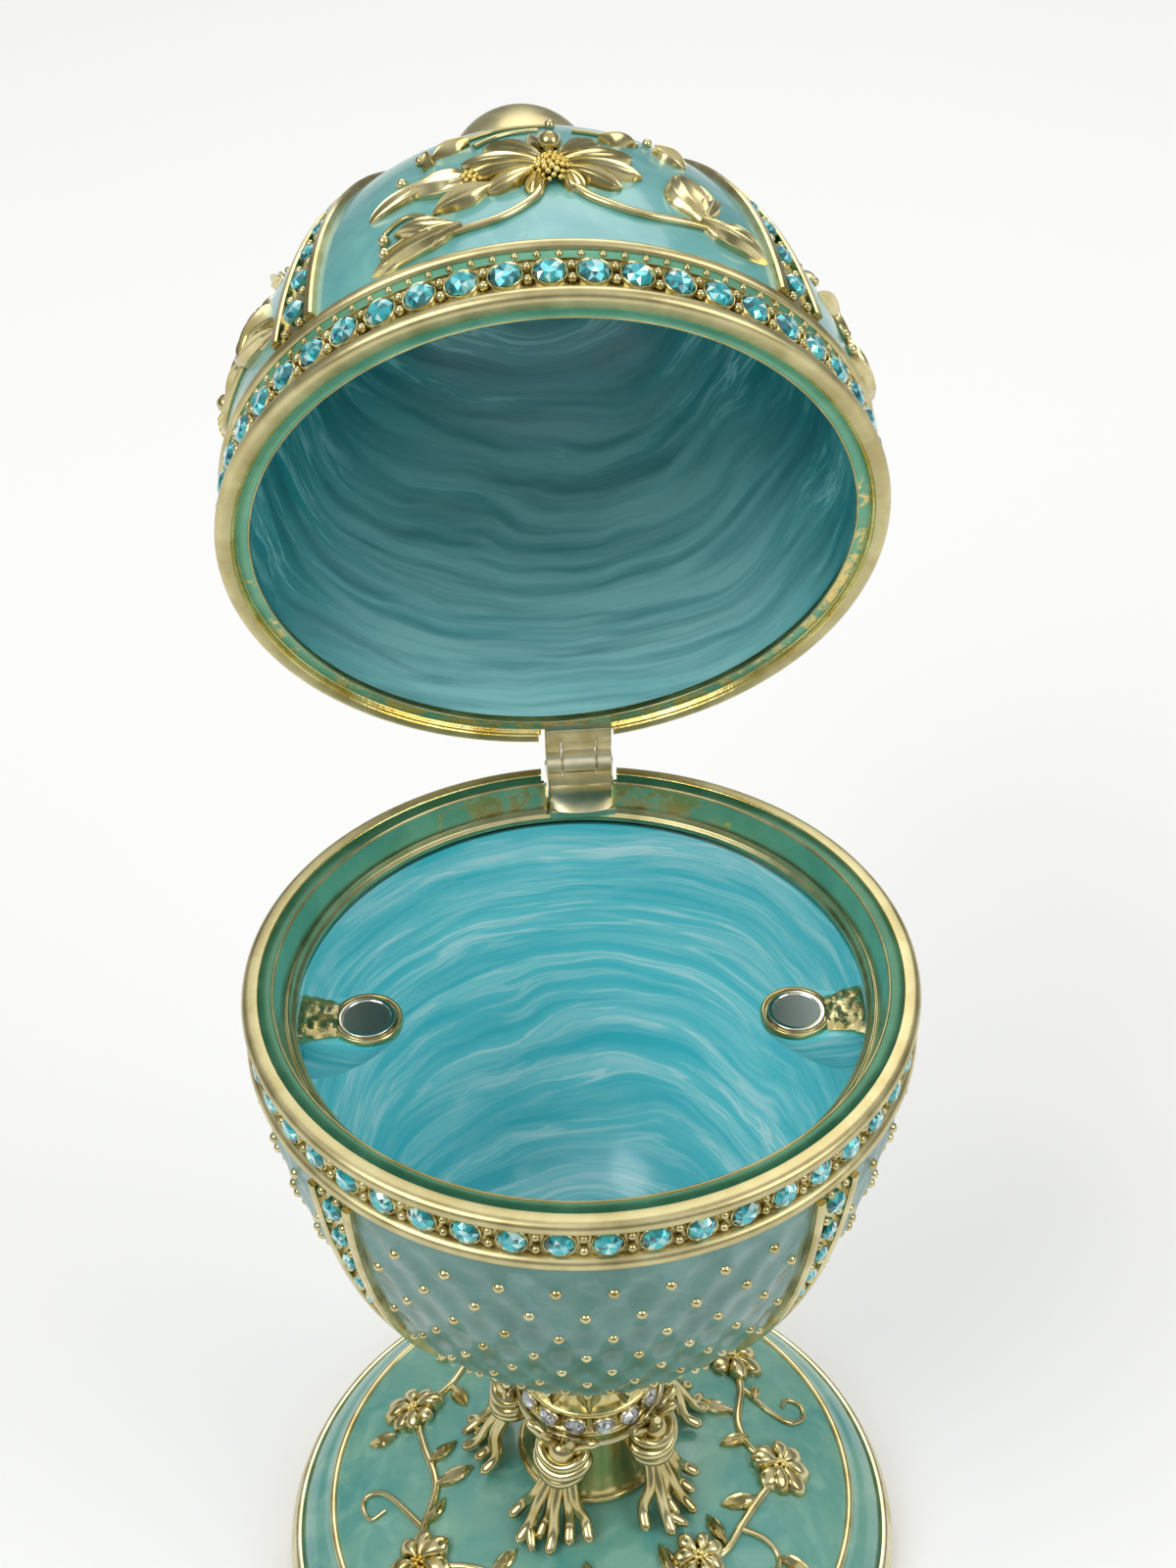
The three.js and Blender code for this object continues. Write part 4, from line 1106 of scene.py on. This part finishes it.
def knob():
    """A smooth gold finial, itself a little egg, with a wire round its foot."""
    heights = DOME["height"] * SPREAD[::-1]
    radius, top, foot = KNOB["radius"], KNOB["top"], KNOB["foot"]
    foot_z = float(np.interp(foot, dome_radius(heights), heights))
    middle = foot_z + (top - foot_z) / 3
    full = KNOB["fullness"]
    egg = [(radius * (1 - abs(t) ** full) ** (1 / full), middle + (top - middle) * t)
           for t in np.sin(np.linspace(-0.43, math.pi / 2, 30))]
    profile = ([(0, foot_z - 0.8), (foot, foot_z - 0.8)]
               + arc(foot - 0.05, foot_z + 0.35, 0.45, -60, 120) + egg[:-1] + [(0, top)])
    settle(piece_from("knob", *turned(profile, 128), GILT_SATIN, 40), LID_RIM, "lid", "gilt")
    beads = set_ring("knob_beads", BEAD, GILT, 14, foot + 1.5, foot_z - 0.35, 0.6, tilt=1.2)
    settle(beads, LID_RIM, "lid", "gilt")


def lid_lining():
    """The lining of the dome, up to the ledge inside its rim."""
    height = LID_HOLLOW["height"]
    inner = hollow(LID_HOLLOW["radius"], height, DOME["bulge"], DOME["rise"], LID_HOLLOW["ledge"])
    wall = [(r + 0.8, z + 0.5) for r, z in inner[:-1:6]][::-1]
    shape = turned([(0, height + 1.0)] + wall + inner, LINING["sides"])
    lining = piece_from("lid_lining", *shape, LID_LINING, 50)
    unrolled(lining, inner)
    return settle(lining, LID_RIM, "lid", "pearl_lining")


SINK = 0.5  # how deep a relief is rooted in the wall
GOLDEN_TURN = 2.39996  # radians from one grain to the next, as in a seed head


def petal(start, angle, length, width, height, ribs, broad, curl=0.25, bend=0.0,
          rows=12, across=23):
    """A petal or leaf, fan-ribbed from its root, its edges dipped and its tip turned down.

    It is widest at the share of its length called broad, and rounds off from there to its tip.
    """
    a = math.radians(angle)
    cosine, sine = math.cos(a), math.sin(a)
    rings = []
    for u in np.linspace(0, 1, rows + 1) ** 0.85:
        if u < broad:
            swell = 0.2 + 0.8 * math.sin(math.pi / 2 * u / broad) ** 1.5
        else:
            swell = max(0.02, 1 - ((u - broad) / (1 - broad)) ** 2) ** (0.5 if broad > 0.5 else 0.8)
        half = width / 2 * swell
        crown = height * (0.45 + 0.55 * math.sin(math.pi * min(1, 0.3 + 0.62 * u))) - curl * u ** 5
        relief = 0.3 * math.sin(math.pi * u ** 1.4) ** 0.6
        section = [(v * half, crown - 0.7 * height * abs(v) ** 4
                    + relief * math.cos(ribs * math.pi * v)) for v in np.linspace(-1, 1, across)]
        section += [(v * half, -SINK) for v in (0.96, 0, -0.96)]
        x, swing = u * length, bend * length * u * u
        rings.append([(start[0] + x * cosine - (y + swing) * sine,
                       start[1] + x * sine + (y + swing) * cosine, out) for y, out in section])
    return loft(rings)


def beside_eye(reach, angle):
    """A petal's root, a little way out from its flower's eye."""
    return reach * math.cos(math.radians(angle)), reach * math.sin(math.radians(angle))


def grains(centre, radius, height, count, size, seed):
    """Granulation heaped on a flower's eye: each grain's flat place with its lift, and its size."""
    chance = random.Random(seed)
    out = []
    for k in range(count):
        reach = radius * math.sqrt((k + 0.5) / count)
        turn = k * GOLDEN_TURN
        lift = height * (1 - 0.75 * (reach / radius) ** 2) + chance.uniform(-0.05, 0.05)
        out.append(((centre[0] + reach * math.cos(turn), centre[1] + reach * math.sin(turn), lift),
                    size * chance.uniform(0.8, 1.15)))
    return out


# The spray on each panel of the lid, in flat terms: x across and y up from the flower's eye.
FLOWER_Z = 16.5
SPRAY_AZIMUTH = LID_TURN + 2.0
LID_PETALS = [  # angle, length, width, height
    (132, 7.0, 2.8, 1.5), (158, 7.3, 2.1, 1.3), (181, 7.2, 1.8, 1.15), (205, 5.6, 1.8, 1.0),
    (52, 6.4, 2.7, 1.5), (26, 7.4, 2.2, 1.3), (3, 7.2, 1.9, 1.15), (-21, 5.6, 1.9, 1.0),
    (-52, 3.4, 1.9, 0.9), (240, 3.4, 1.9, 0.9), (93, 5.8, 3.6, 1.9),
]
LID_LEAVES = [  # start, angle, length, width, ribs, bend
    ((-8.2, -6.8), 168, 5.6, 2.8, 3, -0.1), ((-7.6, -7.0), 193, 8.4, 2.4, 4, 0.06),
    ((-6.2, -0.4), 156, 6.2, 4.0, 4, 0.2), ((-9.6, 0.9), 186, 6.4, 1.8, 2, 0.2),
    ((-4.8, -2.0), 194, 5.6, 2.6, 3, 0.1), ((12.8, -4.8), 108, 7.8, 5.0, 5, -0.12),
    ((12.6, -5.0), 76, 5.8, 2.4, 3, -0.1), ((12.2, -5.0), -16, 6.9, 3.0, 4, 0.05),
    ((13.4, -5.4), 10, 5.2, 2.2, 3, -0.1), ((-6.4, 8.6), 196, 3.6, 1.2, 1, 0.1),
    ((9.6, 8.0), -28, 3.6, 1.5, 2, -0.1), ((4.6, 7.6), 8, 3.6, 1.1, 1, 0.1),
    ((-10.6, 5.0), 70, 3.2, 1.2, 1, 0.1),
]
LID_STEMS = [  # points, thickness at the start and at the end
    ([(-0.8, -2.2), (-1.8, -4.4), (-4.6, -6.6), (-8.8, -7.5)], 0.85, 0.7),
    ([(1.4, -2.2), (3.4, -4.4), (7.2, -5.9), (12.6, -5.4)], 0.85, 0.75),
    ([(-9.6, -6.4), (-10.6, -4.0), (-12.4, -3.0), (-14.2, -4.0), (-14.4, -5.2)], 0.5, 0.36),
    ([(-10.6, -6.8), (-12.0, -6.0), (-14.2, -6.8)], 0.5, 0.34),
    ([(-6.0, 7.4), (-3.6, 9.6), (-0.4, 10.6)], 0.5, 0.36),
    ([(2.6, 10.4), (5.6, 9.8), (8.4, 8.8)], 0.45, 0.36),
    ([(-8.0, 9.0), (-4.4, 11.6), (0.6, 12.4)], 0.5, 0.36),
]
LID_DROPS = [((-14.4, -5.4), 0.55), ((-14.4, -7.2), 0.55), ((-12.6, 3.4), 0.5), ((-10.8, 7.4), 0.5),
             ((0.8, 12.4), 0.5), ((9.4, 10.4), 0.45)]
STEM_LIFT = 0.22  # how far the middle of a stem lies over the enamel


def lid_sprays():
    """The cast spray of one panel, repeated round the lid, and the grains of its flower's eye."""
    def on_dome(flat):
        return laid_on(DOME_SKIN, 0, FLOWER_Z, flat)

    def seated(spots):
        """Seats for beads, from their flat places with their lift, and their sizes."""
        out = []
        for (x, y, lift), size in spots:
            low, high = on_dome([(x, y, lift), (x, y, lift + 1)])
            out.append((low, high - low, size))
        return out

    leaves = [petal(beside_eye(0.55, a), a, length, width, height, 3, broad=0.78)
              for a, length, width, height in LID_PETALS]
    leaves += [petal(start, a, length, width, 0.95, ribs, broad=0.42, bend=bend)
               for start, a, length, width, ribs, bend in LID_LEAVES]
    points, faces = combined(*leaves)
    stems = []
    for places, greener_in_dips, thin in LID_STEMS:
        line = smooth_line(places, 10)
        stems.append((on_dome([(x, y, STEM_LIFT) for x, y in line]),
                      np.linspace(greener_in_dips, thin, len(line))))
    drops = [((0, 2.0, 1.9), 0.95)] + [((x, y, 0.3), size) for (x, y), size in LID_DROPS]
    eyes = grains((0.1, -0.3), 1.75, 1.8, 52, 0.3, 8) + grains((-6.6, -0.6), 1.0, 1.25, 20, 0.27, 9)
    for part, finish in (
            (piece_from("lid_petals", on_dome(points), faces, GILT, 45), GILT),
            (wires("lid_stems", stems, GILT), GILT),
            (set_on("lid_drops", seated(drops), BEAD, GILT, seed=13), GILT),
            (set_on("lid_granules", seated(eyes), BEAD, GRAIN_GOLD, seed=12), GRAIN_GOLD)):
        settle(round_axis(part, PANELS, SPRAY_AZIMUTH, finish), LID_RIM, "lid", "gilt")


lid_rim()
lid_enamel()
knob()
lid_lining()
LID_FIRST_RIB = FIRST_RIB + LID_TURN
settle(rib_piece("lid_ribs", DOME_SKIN, LID_RIB["ends"], LID_FIRST_RIB), LID_RIM, "lid", "gilt")
for piece, slot in zip(rib_stones("lid_rib", DOME_SKIN, LID_RIB, 17, LID_FIRST_RIB),
                       ("blue_stone", "gilt")):
    settle(piece, LID_RIM, "lid", slot)
stone_row("lid_rim", LID_ROW, LID_RIM, "lid", 22)
lid_sprays()
settle(set_ring("lid_prong_strip", BEAD, GILT, 104, 29.25, 5.45, 0.34), LID_RIM, "lid", "gilt")

# ---------------------------------------------------------------- foot


def smooth_profile(points):
    """Points on a smooth line through a few of a profile's points."""
    return [tuple(p) for p in smooth_line(points, 6)]


def foot():
    """The foot's turned edge and wires, and the enamel between them."""
    ring, ring_z = FOOT["ring"], float(foot_height(FOOT["ring"]))
    edge = (softened([(30.6, 0.0), (32.2, 0.0), (33.4, 0.9), (33.4, 2.7), (32.9, 3.4)], 0.3, 3)
            + arc(32.35, 3.7, 0.55, 0, 110) + [(31.6, 3.6), (30.6, 1.2)])
    settle(piece_from("foot_edge", *turned(edge), GILT_BRIGHT, 32), TABLE, "box", "gilt", "base")
    wire = arc(ring, ring_z + 0.1, 0.42, -20, 200) + [(27.6, ring_z - 0.6), (29, ring_z - 0.9)]
    settle(piece_from("foot_wire", *turned(wire), GILT, 32), TABLE, "box", "gilt")
    flare = smooth_profile(
        [(31.9, 3.9), (31.5, 5.0), (30.4, 6.35), (29.4, 7.1), (28.75, ring_z + 0.02)])
    cap = [(float(r), float(foot_height(r))) for r in np.linspace(27.8, 0.6, 60)]
    body = [(0, 0.25), (31.9, 0.25)] + flare + cap + [(0, FOOT["top"])]
    skin = piece_from("foot_enamel", *turned(body), FOOT_ENAMEL, 40)
    settle(skin, TABLE, "box", "foot_enamel")


# The garland on the foot. A place is a radius and an azimuth in degrees from the front.
FLOWERS = [  # radius, azimuth, a petal's length
    (21.3, 130, 3.3), (20.7, 87, 3.1), (17.2, 41, 2.6), (21.0, -110, 3.0), (21.8, -57, 3.1),
    (19.5, -20, 3.0), (20.6, 14, 2.9), (19.6, 172, 2.9), (20.4, -152, 3.0)]
VINES = [  # places, thickness at the start and at the end
    ([(20.6, 127), (19.2, 118), (16.8, 104), (17.4, 93), (19.9, 88)], 1.0, 0.8),
    ([(20.4, 84), (18.9, 75), (18.1, 62), (18.2, 50), (17.3, 42)], 1.0, 0.8),
    ([(18.1, 60), (20.4, 62), (22.3, 61), (23.3, 58)], 0.8, 0.55),
    ([(19.3, 119), (21.0, 108), (22.9, 104), (24.8, 106), (25.2, 110), (23.9, 112),
      (22.8, 109.5)], 0.72, 0.45),
    ([(16.8, 38), (16.4, 28), (18.0, 20), (20.2, 15)], 0.9, 0.7),
    ([(20.2, 12), (17.4, 2), (17.0, -8), (19.0, -18)], 0.9, 0.7),
    ([(19.6, -22), (17.6, -32), (18.2, -44), (21.2, -55)], 0.9, 0.7),
    ([(21.2, -59), (19.7, -65), (17.0, -78), (18.2, -95), (20.4, -108)], 1.0, 0.8),
    ([(19.6, -66), (22.3, -82), (24.4, -84), (25.0, -81), (24.3, -77), (22.6, -77.5)], 0.72, 0.45),
    ([(20.4, -111), (18.6, -122), (19.4, -136), (20.2, -150)], 0.9, 0.7),
    ([(20.0, -154), (17.6, -164), (17.4, -176), (19.4, 173)], 0.9, 0.7),
    ([(19.4, 170), (17.2, 160), (17.6, 146), (20.8, 132)], 0.9, 0.7),
    ([(17.8, 150), (21.6, 150), (24.0, 146), (24.9, 150), (23.6, 154), (22.4, 151)], 0.72, 0.45),
]
GARLAND_LEAVES = [  # radius, azimuth, turn from the way out, length, width
    (16.6, 108, 150, 4.6, 1.9), (17.4, 97, 200, 3.6, 1.5), (18.6, 73, 215, 4.2, 1.8),
    (22.9, 60, 20, 3.4, 1.7), (23.0, 57, -40, 3.2, 1.5), (17.9, 52, 160, 3.6, 1.6),
    (17.0, -78, 190, 4.4, 1.9), (17.6, -88, 215, 3.8, 1.6), (22.0, -101, 10, 3.0, 1.8),
    (18.2, -122, 150, 3.8, 1.6), (17.3, 30, 175, 3.8, 1.6), (17.2, 0, 190, 3.8, 1.6),
    (17.8, -36, 170, 3.8, 1.6), (19.2, -66, -150, 3.4, 1.5), (17.4, -168, 180, 3.8, 1.6),
    (17.2, 156, 185, 3.8, 1.6), (19.8, 112, 60, 2.8, 1.3), (20.0, 2, 40, 3.2, 1.4),
    (20.2, -40, -30, 3.2, 1.4), (20.6, -135, 35, 3.2, 1.4),
]


def beside(azimuth, radius, z):
    """A point round the axis, its azimuth in degrees from the front."""
    a = math.radians(azimuth)
    return radius * math.sin(a), -radius * math.cos(a), z


def on_foot(points, middle):
    """Lays flat relief points on the foot: y is the way outwards at the middle place."""
    radius, azimuth = middle
    x, y, out = np.array(points, float).T
    a = math.radians(azimuth)
    px = (radius + y) * math.sin(a) + x * math.cos(a)
    py = -(radius + y) * math.cos(a) + x * math.sin(a)
    far = np.hypot(px, py)
    return np.stack([px, py, foot_height(np.minimum(far, 31)) + out], -1)


def garland():
    """Open flowers on a running vine with leaves and curled tendrils, and their eyes."""
    shapes, places = [], []
    chance = random.Random(6)
    for k, (radius, azimuth, reach) in enumerate(FLOWERS):
        middle = (radius, azimuth)
        count = 7 + k % 2
        turn = chance.uniform(0, 60)
        for j in range(count):
            angle = turn + 360 * j / count + chance.uniform(-8, 8)
            size = reach * chance.uniform(0.86, 1.08)
            points, faces = petal(beside_eye(0.35, angle), angle, size, size * 0.72,
                                  1.25 + 0.35 * (j % 2), 0, broad=0.66, curl=0.0, rows=10, across=9)
            shapes.append((on_foot(points, middle), faces))
        for spot, size in grains((0, 0), 0.95, 1.5, 18, 0.28, k):
            places.append((on_foot([spot], middle)[0], (0, 0, 1), size))
    for radius, azimuth, turn, length, width in GARLAND_LEAVES:
        points, faces = petal((0, 0), 90 - turn, length, width, 0.95, 2, broad=0.42,
                              rows=9, across=9)
        shapes.append((on_foot(points, (radius, azimuth)), faces))
    lines = []
    for points, greener_in_dips, thin in VINES:
        line = smooth_line([beside(azimuth, radius, 0)[:2] for radius, azimuth in points], 10)
        heights = foot_height(np.hypot(line[:, 0], line[:, 1])) + 0.2
        lines.append((np.column_stack([line, heights]), np.linspace(greener_in_dips, thin, len(line))))
    for piece in (piece_from("garland_petals", *combined(*shapes), GILT, 45),
                  set_on("garland_granules", places, BEAD, GRAIN_GOLD, seed=14),
                  wires("garland_vines", lines, GILT)):
        settle(piece, TABLE, "box", "gilt")


foot()
garland()

# ---------------------------------------------------------------- column and its bundles

COLUMN = {"radius": 6.7, "collar": 28.2, "stones": 15}  # the collar by its height
BUNDLES = {"count": 5, "first": -20, "tie": 24.7}  # first azimuth, height of the tie


def column():
    """The column, its foot ring, the collar, and the cup that spreads under the bowl."""
    r, z = COLUMN["radius"], COLUMN["collar"]
    cup = [(q, RIM_Z - BOWL["depth"] * math.sqrt(1 - (q / BOWL["radius"]) ** 2) - 0.15)
           for q in (9.2, 6, 3)]
    foot_z = float(foot_height(7.5))
    body = smooth_profile([(r + 0.3, foot_z + 2.0), (r - 0.1, 19.5), (r - 0.2, 23.2), (r, 26.4)])
    waist = smooth_profile([(r - 0.4, z + 2.2), (r - 0.7, z + 4.0), (r, z + 7.4),
                            (9.3, cup[0][1] - 0.9)])
    profile = ([(0, 14), (7.4, 14)] + arc(7.35, foot_z + 0.7, 0.42, -90, 90)
               + [(r + 0.5, foot_z + 1.3)] + body
               + arc(r + 0.05, z - 1.5, 0.42, -70, 70, 6) + [(r, z - 1.0), (r, z + 1.0)]
               + arc(r + 0.05, z + 1.5, 0.42, -70, 70, 6) + waist + cup + [(0, cup[-1][1])])
    shaft = piece_from("column", *turned(profile, 160), BRUSHED, 32)
    settle(shaft, TABLE, "box", "gilt", "pedestal")


def blunt_ends(sizes):
    """Rounds off both ends of a wire's run of thicknesses."""
    ease = np.minimum(1, np.arange(1, len(sizes) + 1) / 2.5) ** 0.6
    return sizes * ease * ease[::-1]


# A bundle's stems, as the azimuth of the end from the bundle's middle, its radius and height.
HANGING = [(-24, 12.2, 15.1), (-14, 13.8, 14.5), (-6, 12.6, 14.8), (1, 13.7, 14.5),
           (9, 12.4, 14.9), (19, 12.1, 15.2)]
FORKED = 1  # which of the hanging stems is forked
RISING = [(-24, 9.0, 28.4), (-8, 10.0, 29.3), (9, 10.2, 29.2), (25, 9.1, 28.2)]
WRAPS = [(-1.9, 2.1, 1.35), (-0.5, 2.5, 1.45), (0.9, 2.35, 1.2)]  # lift, half width, thickness


def bundles():
    """Five bundles of stems against the column, each tied with ribbon, their ends splayed."""
    chance = random.Random(15)
    tie = BUNDLES["tie"]
    lines = []
    for k, (splay, reach, end) in enumerate(HANGING):
        bend = chance.uniform(-1.5, 1.5)
        fork = beside(splay * 0.86, reach - 1.7, end + 1.7)
        main = smooth_line([
            beside(splay * 0.18, 8.1, tie + 1.2), beside(splay * 0.32, 8.5, tie - 2.2),
            beside(splay * 0.62 + bend, 8.5 + (reach - 8.5) * 0.42, end + 4.2), fork,
            beside(splay, reach, end + 0.35)], 8)
        lines.append((main, blunt_ends(np.linspace(1.2, 1.3, len(main)))))
        if k == FORKED:
            twig = smooth_line([fork, beside(splay * 0.86 + 6, reach + 0.2, end + 0.4)], 6)
            lines.append((twig, blunt_ends(np.full(len(twig), 1.1))))
    for splay, reach, top in RISING:
        rise = smooth_line([
            beside(splay * 0.3, 8.0, tie - 0.5), beside(splay * 0.5, 8.5, tie + 2.0),
            beside(splay, reach, top)], 8)
        lines.append((rise, blunt_ends(np.linspace(1.3, 1.25, len(rise)))))
    wraps = []
    for k, (lift, wide, greener_in_dips) in enumerate(WRAPS):
        loop = []
        for t in np.linspace(0, 2 * math.pi, 33):
            sag = 0.75 * max(0.0, -math.cos(t)) * math.cos(math.sin(t) * 1.2)
            loop.append((wide * math.sin(t), -8.2 + 1.75 * math.cos(t),
                         tie + lift - sag + 0.25 * math.sin(t + k)))
        wraps.append((np.array(loop), greener_in_dips))
    knot = ((0, -8.2, tie + 0.6), (0, -0.5, 1), 1.7)
    for part in (wires("bundle_stems", lines, GILT, 9), set_on("bundle_knots", [knot], BEAD, GILT),
                 wires("ribbon_ties", wraps, GILT)):
        around = round_axis(part, BUNDLES["count"], BUNDLES["first"], GILT)
        settle(around, TABLE, "box", "gilt")


def collar():
    """Clear stones in bright cups, with a swag of wire below them and leaves up to the bowl."""
    r, z = COLUMN["radius"] + 0.25, COLUMN["collar"]
    stones = set_ring("collar_stones", STONE, CLEAR_STONE, COLUMN["stones"], r + 0.35, z, 1.05)
    settle(stones, TABLE, "box", "clear_stone")
    cups = set_ring("collar_cups", BEZEL, GILT_BRIGHT, COLUMN["stones"], r + 0.2, z, 1.02)
    swag = [beside(a, r + 0.55, z - 1.5 - 0.75 * abs(math.sin(math.radians(2.5 * (a + 20)))))
            for a in np.linspace(0, 360, 181)]
    leaf, faces = petal((0, 0), 90, 5.6, 3.0, 1.0, 3, broad=0.5, rows=10, across=9)
    points = [beside(math.degrees(x / 7.2), 6.6 + 0.055 * y * y + out, z + 3 + y)
              for x, y, out in leaf]
    for piece in (cups, wires("collar_swag", [(swag, 0.7)], GILT_BRIGHT),
                  round_axis(piece_from("cup_leaves", points, faces, GILT, 45), 12, 0, GILT)):
        settle(piece, TABLE, "box", "gilt")


def brushed():
    """Gold plate over a column scratch-brushed up and down, which draws its shine in streaks."""
    material, tree, shader = new_finish("gold_plated_brushed_column", {"Metallic": 1.0})
    drawn = add(tree, "ShaderNodeMapping", {"Vector": place_of(tree), "Scale": (1.0, 1.0, 0.06)})
    lines = add(tree, "ShaderNodeTexNoise", {"Vector": drawn, "Scale": per_mm(0.7), "Detail": 4.0})
    tint = add(tree, "ShaderNodeMix", {
        "Factor": lines, "A": colour("#B7A355"), "B": colour("#EBE0A8")}, data_type="RGBA")
    bump = add(tree, "ShaderNodeBump", {"Height": lines, "Strength": 0.6, "Distance": 0.08 * MM})
    gloss = add(tree, "ShaderNodeMapRange", {"Value": lines, "To Min": 0.14, "To Max": 0.34})
    feed(tree, shader, {"Base Color": tint, "Roughness": gloss, "Normal": bump})
    return material


BRUSHED = brushed()
column()
bundles()
collar()

# ---------------------------------------------------------------- hinge

HINGE = {"radius": 1.45, "half": 3.3, "middle": 1.65, "pin": 0.6, "gap": 0.12, "lip": 3.35}


def hinge():
    """The bowl's leaf with its rounded lip, the lid's two ears, and the pin through them."""
    r, middle, half, gap = (HINGE[k] for k in ("radius", "middle", "half", "gap"))
    lip = []
    for a in np.linspace(0, math.pi, 17):
        x = -HINGE["lip"] * math.cos(a)
        round_off = max(0.0, math.sin(a))
        deep = 3.1 * round_off ** 0.6 + 0.3
        greener_in_dips = 0.4 + 0.6 * round_off ** 0.5
        dip = 0.3 * math.cos(a) ** 2
        lip.append([(x, y - 3.5, z - dip) for y, z in [
            (0.1, -1.5), (0.1, -0.3), (-0.35, -0.05), (-deep * 0.45, -0.08), (-deep * 0.8, -0.5),
            (-deep, -0.95), (-deep * 0.85, -0.95 - greener_in_dips * 0.6)]])
    bowl_leaf = combined(
        barrel(r, -middle, middle), block(2 * middle, 1.7, 0.9, 0, -1.75, -0.75),
        block(6.5, 1.9, 1.3, 0, -2.62, -0.75, 0.2), block(6.6, 3.2, 1.0, 0, -4.7, -1.6),
        loft(lip))
    ears = []
    width = half - middle - gap
    for side in (-1, 1):
        centre = side * (middle + gap + width / 2)
        ears += [barrel(r, centre - width / 2, centre + width / 2),
                 block(width, 2.0, 1.15, centre, -1.75, 1.2)]
    lid_leaf = combined(*ears, block(2 * half, 1.9, 1.3, 0, -3.25, 1.6),
                        block(2 * middle + 0.1, 1.6, 0.5, 0, -2.3, 0.8, 0.1))
    pin = barrel(HINGE["pin"], -half - gap, half + gap, 24, 0.15)
    settle(piece_from("hinge_bowl_leaf", *bowl_leaf, GILT_STAMPED, 40),
           PIN, "box", "gilt", "hinge_leaf_bowl")
    settle(piece_from("hinge_lid_leaf", *lid_leaf, GILT_STAMPED, 40),
           LID_PIN, "lid", "gilt", "hinge_leaf_lid")
    settle(piece_from("hinge_pin_wire", *pin, NICKEL, 40), PIN, "box", "gilt", "hinge_pin")


hinge()
for shape in (STONE, BEAD, BEZEL):
    bpy.data.objects.remove(shape)

# ---------------------------------------------------------------- floor, light and camera


def floor():
    """A plain pale sheet that the box stands on."""
    work = bmesh.new()
    bmesh.ops.create_grid(work, x_segments=1, y_segments=1, size=6)
    mesh = bpy.data.meshes.new("floor")
    work.to_mesh(mesh)
    work.free()
    paper, _, _ = new_finish("matt_white_paper", {
        "Base Color": colour("#F4F4F2"), "Roughness": 0.9})
    mesh.materials.append(paper)
    placed("floor", mesh)


LAMPS_AIM_AT = Vector((0, 0.01, 0.08))


def lamp(name, where, size, power):
    """A soft round panel of white light, turned towards the box."""
    light = bpy.data.lights.new(name, "AREA")
    light.shape, light.size, light.energy = "DISK", size, power
    panel = placed(name, light)
    panel.location = where
    panel.rotation_euler = (LAMPS_AIM_AT - Vector(where)).to_track_quat("-Z", "Y").to_euler()


def studio():
    """Soft white light from all round, stronger above, with three panels for the gold to mirror."""
    world = bpy.data.worlds.new("studio")
    bpy.context.scene.world = world
    world.use_nodes = True
    tree = world.node_tree
    direction = add(tree, "ShaderNodeTexCoord").outputs["Generated"]
    height = add(tree, "ShaderNodeSeparateXYZ", {"Vector": direction}).outputs["Z"]
    share = add(tree, "ShaderNodeMapRange", {"Value": height, "From Min": 0.3, "From Max": 0.8},
                interpolation_type="SMOOTHSTEP")
    sky = add(tree, "ShaderNodeMix", {
        "Factor": share, "A": colour("#989C9C"), "B": colour("#FFFFFF")}, data_type="RGBA")
    back = tree.nodes["Background"]
    feed(tree, back, {"Color": sky, "Strength": 0.8})
    lamp("key_panel", (-0.5, -0.4, 0.7), 0.6, 3.0)
    lamp("fill_panel", (0.6, -0.3, 0.5), 0.5, 1.6)
    lamp("back_panel", (0.05, 0.6, 0.75), 0.7, 2.0)


CAMERA = {"lens": 50.17, "place": (0.0009, -0.144, 0.2161), "pitch": 0.655, "roll": -0.016}


def camera():
    """The camera looks down at the open box from in front."""
    data = bpy.data.cameras.new("camera")
    data.lens, data.sensor_width, data.sensor_fit = CAMERA["lens"], 36, "AUTO"
    data.clip_start = 0.01
    pitch, roll = CAMERA["pitch"], CAMERA["roll"]
    ahead = Vector((0, math.cos(pitch), -math.sin(pitch)))
    up = Vector((0, math.sin(pitch), math.cos(pitch)))
    right = Vector((1, 0, 0))
    across = right * math.cos(roll) + up * math.sin(roll)
    upright = -right * math.sin(roll) + up * math.cos(roll)
    turn = Matrix((across, upright, -ahead)).transposed().to_4x4()
    holder = placed("camera", data)
    holder.matrix_world = Matrix.Translation(CAMERA["place"]) @ turn
    bpy.context.scene.camera = holder


floor()
studio()
camera()
bpy.context.scene.view_settings.view_transform = "Standard"
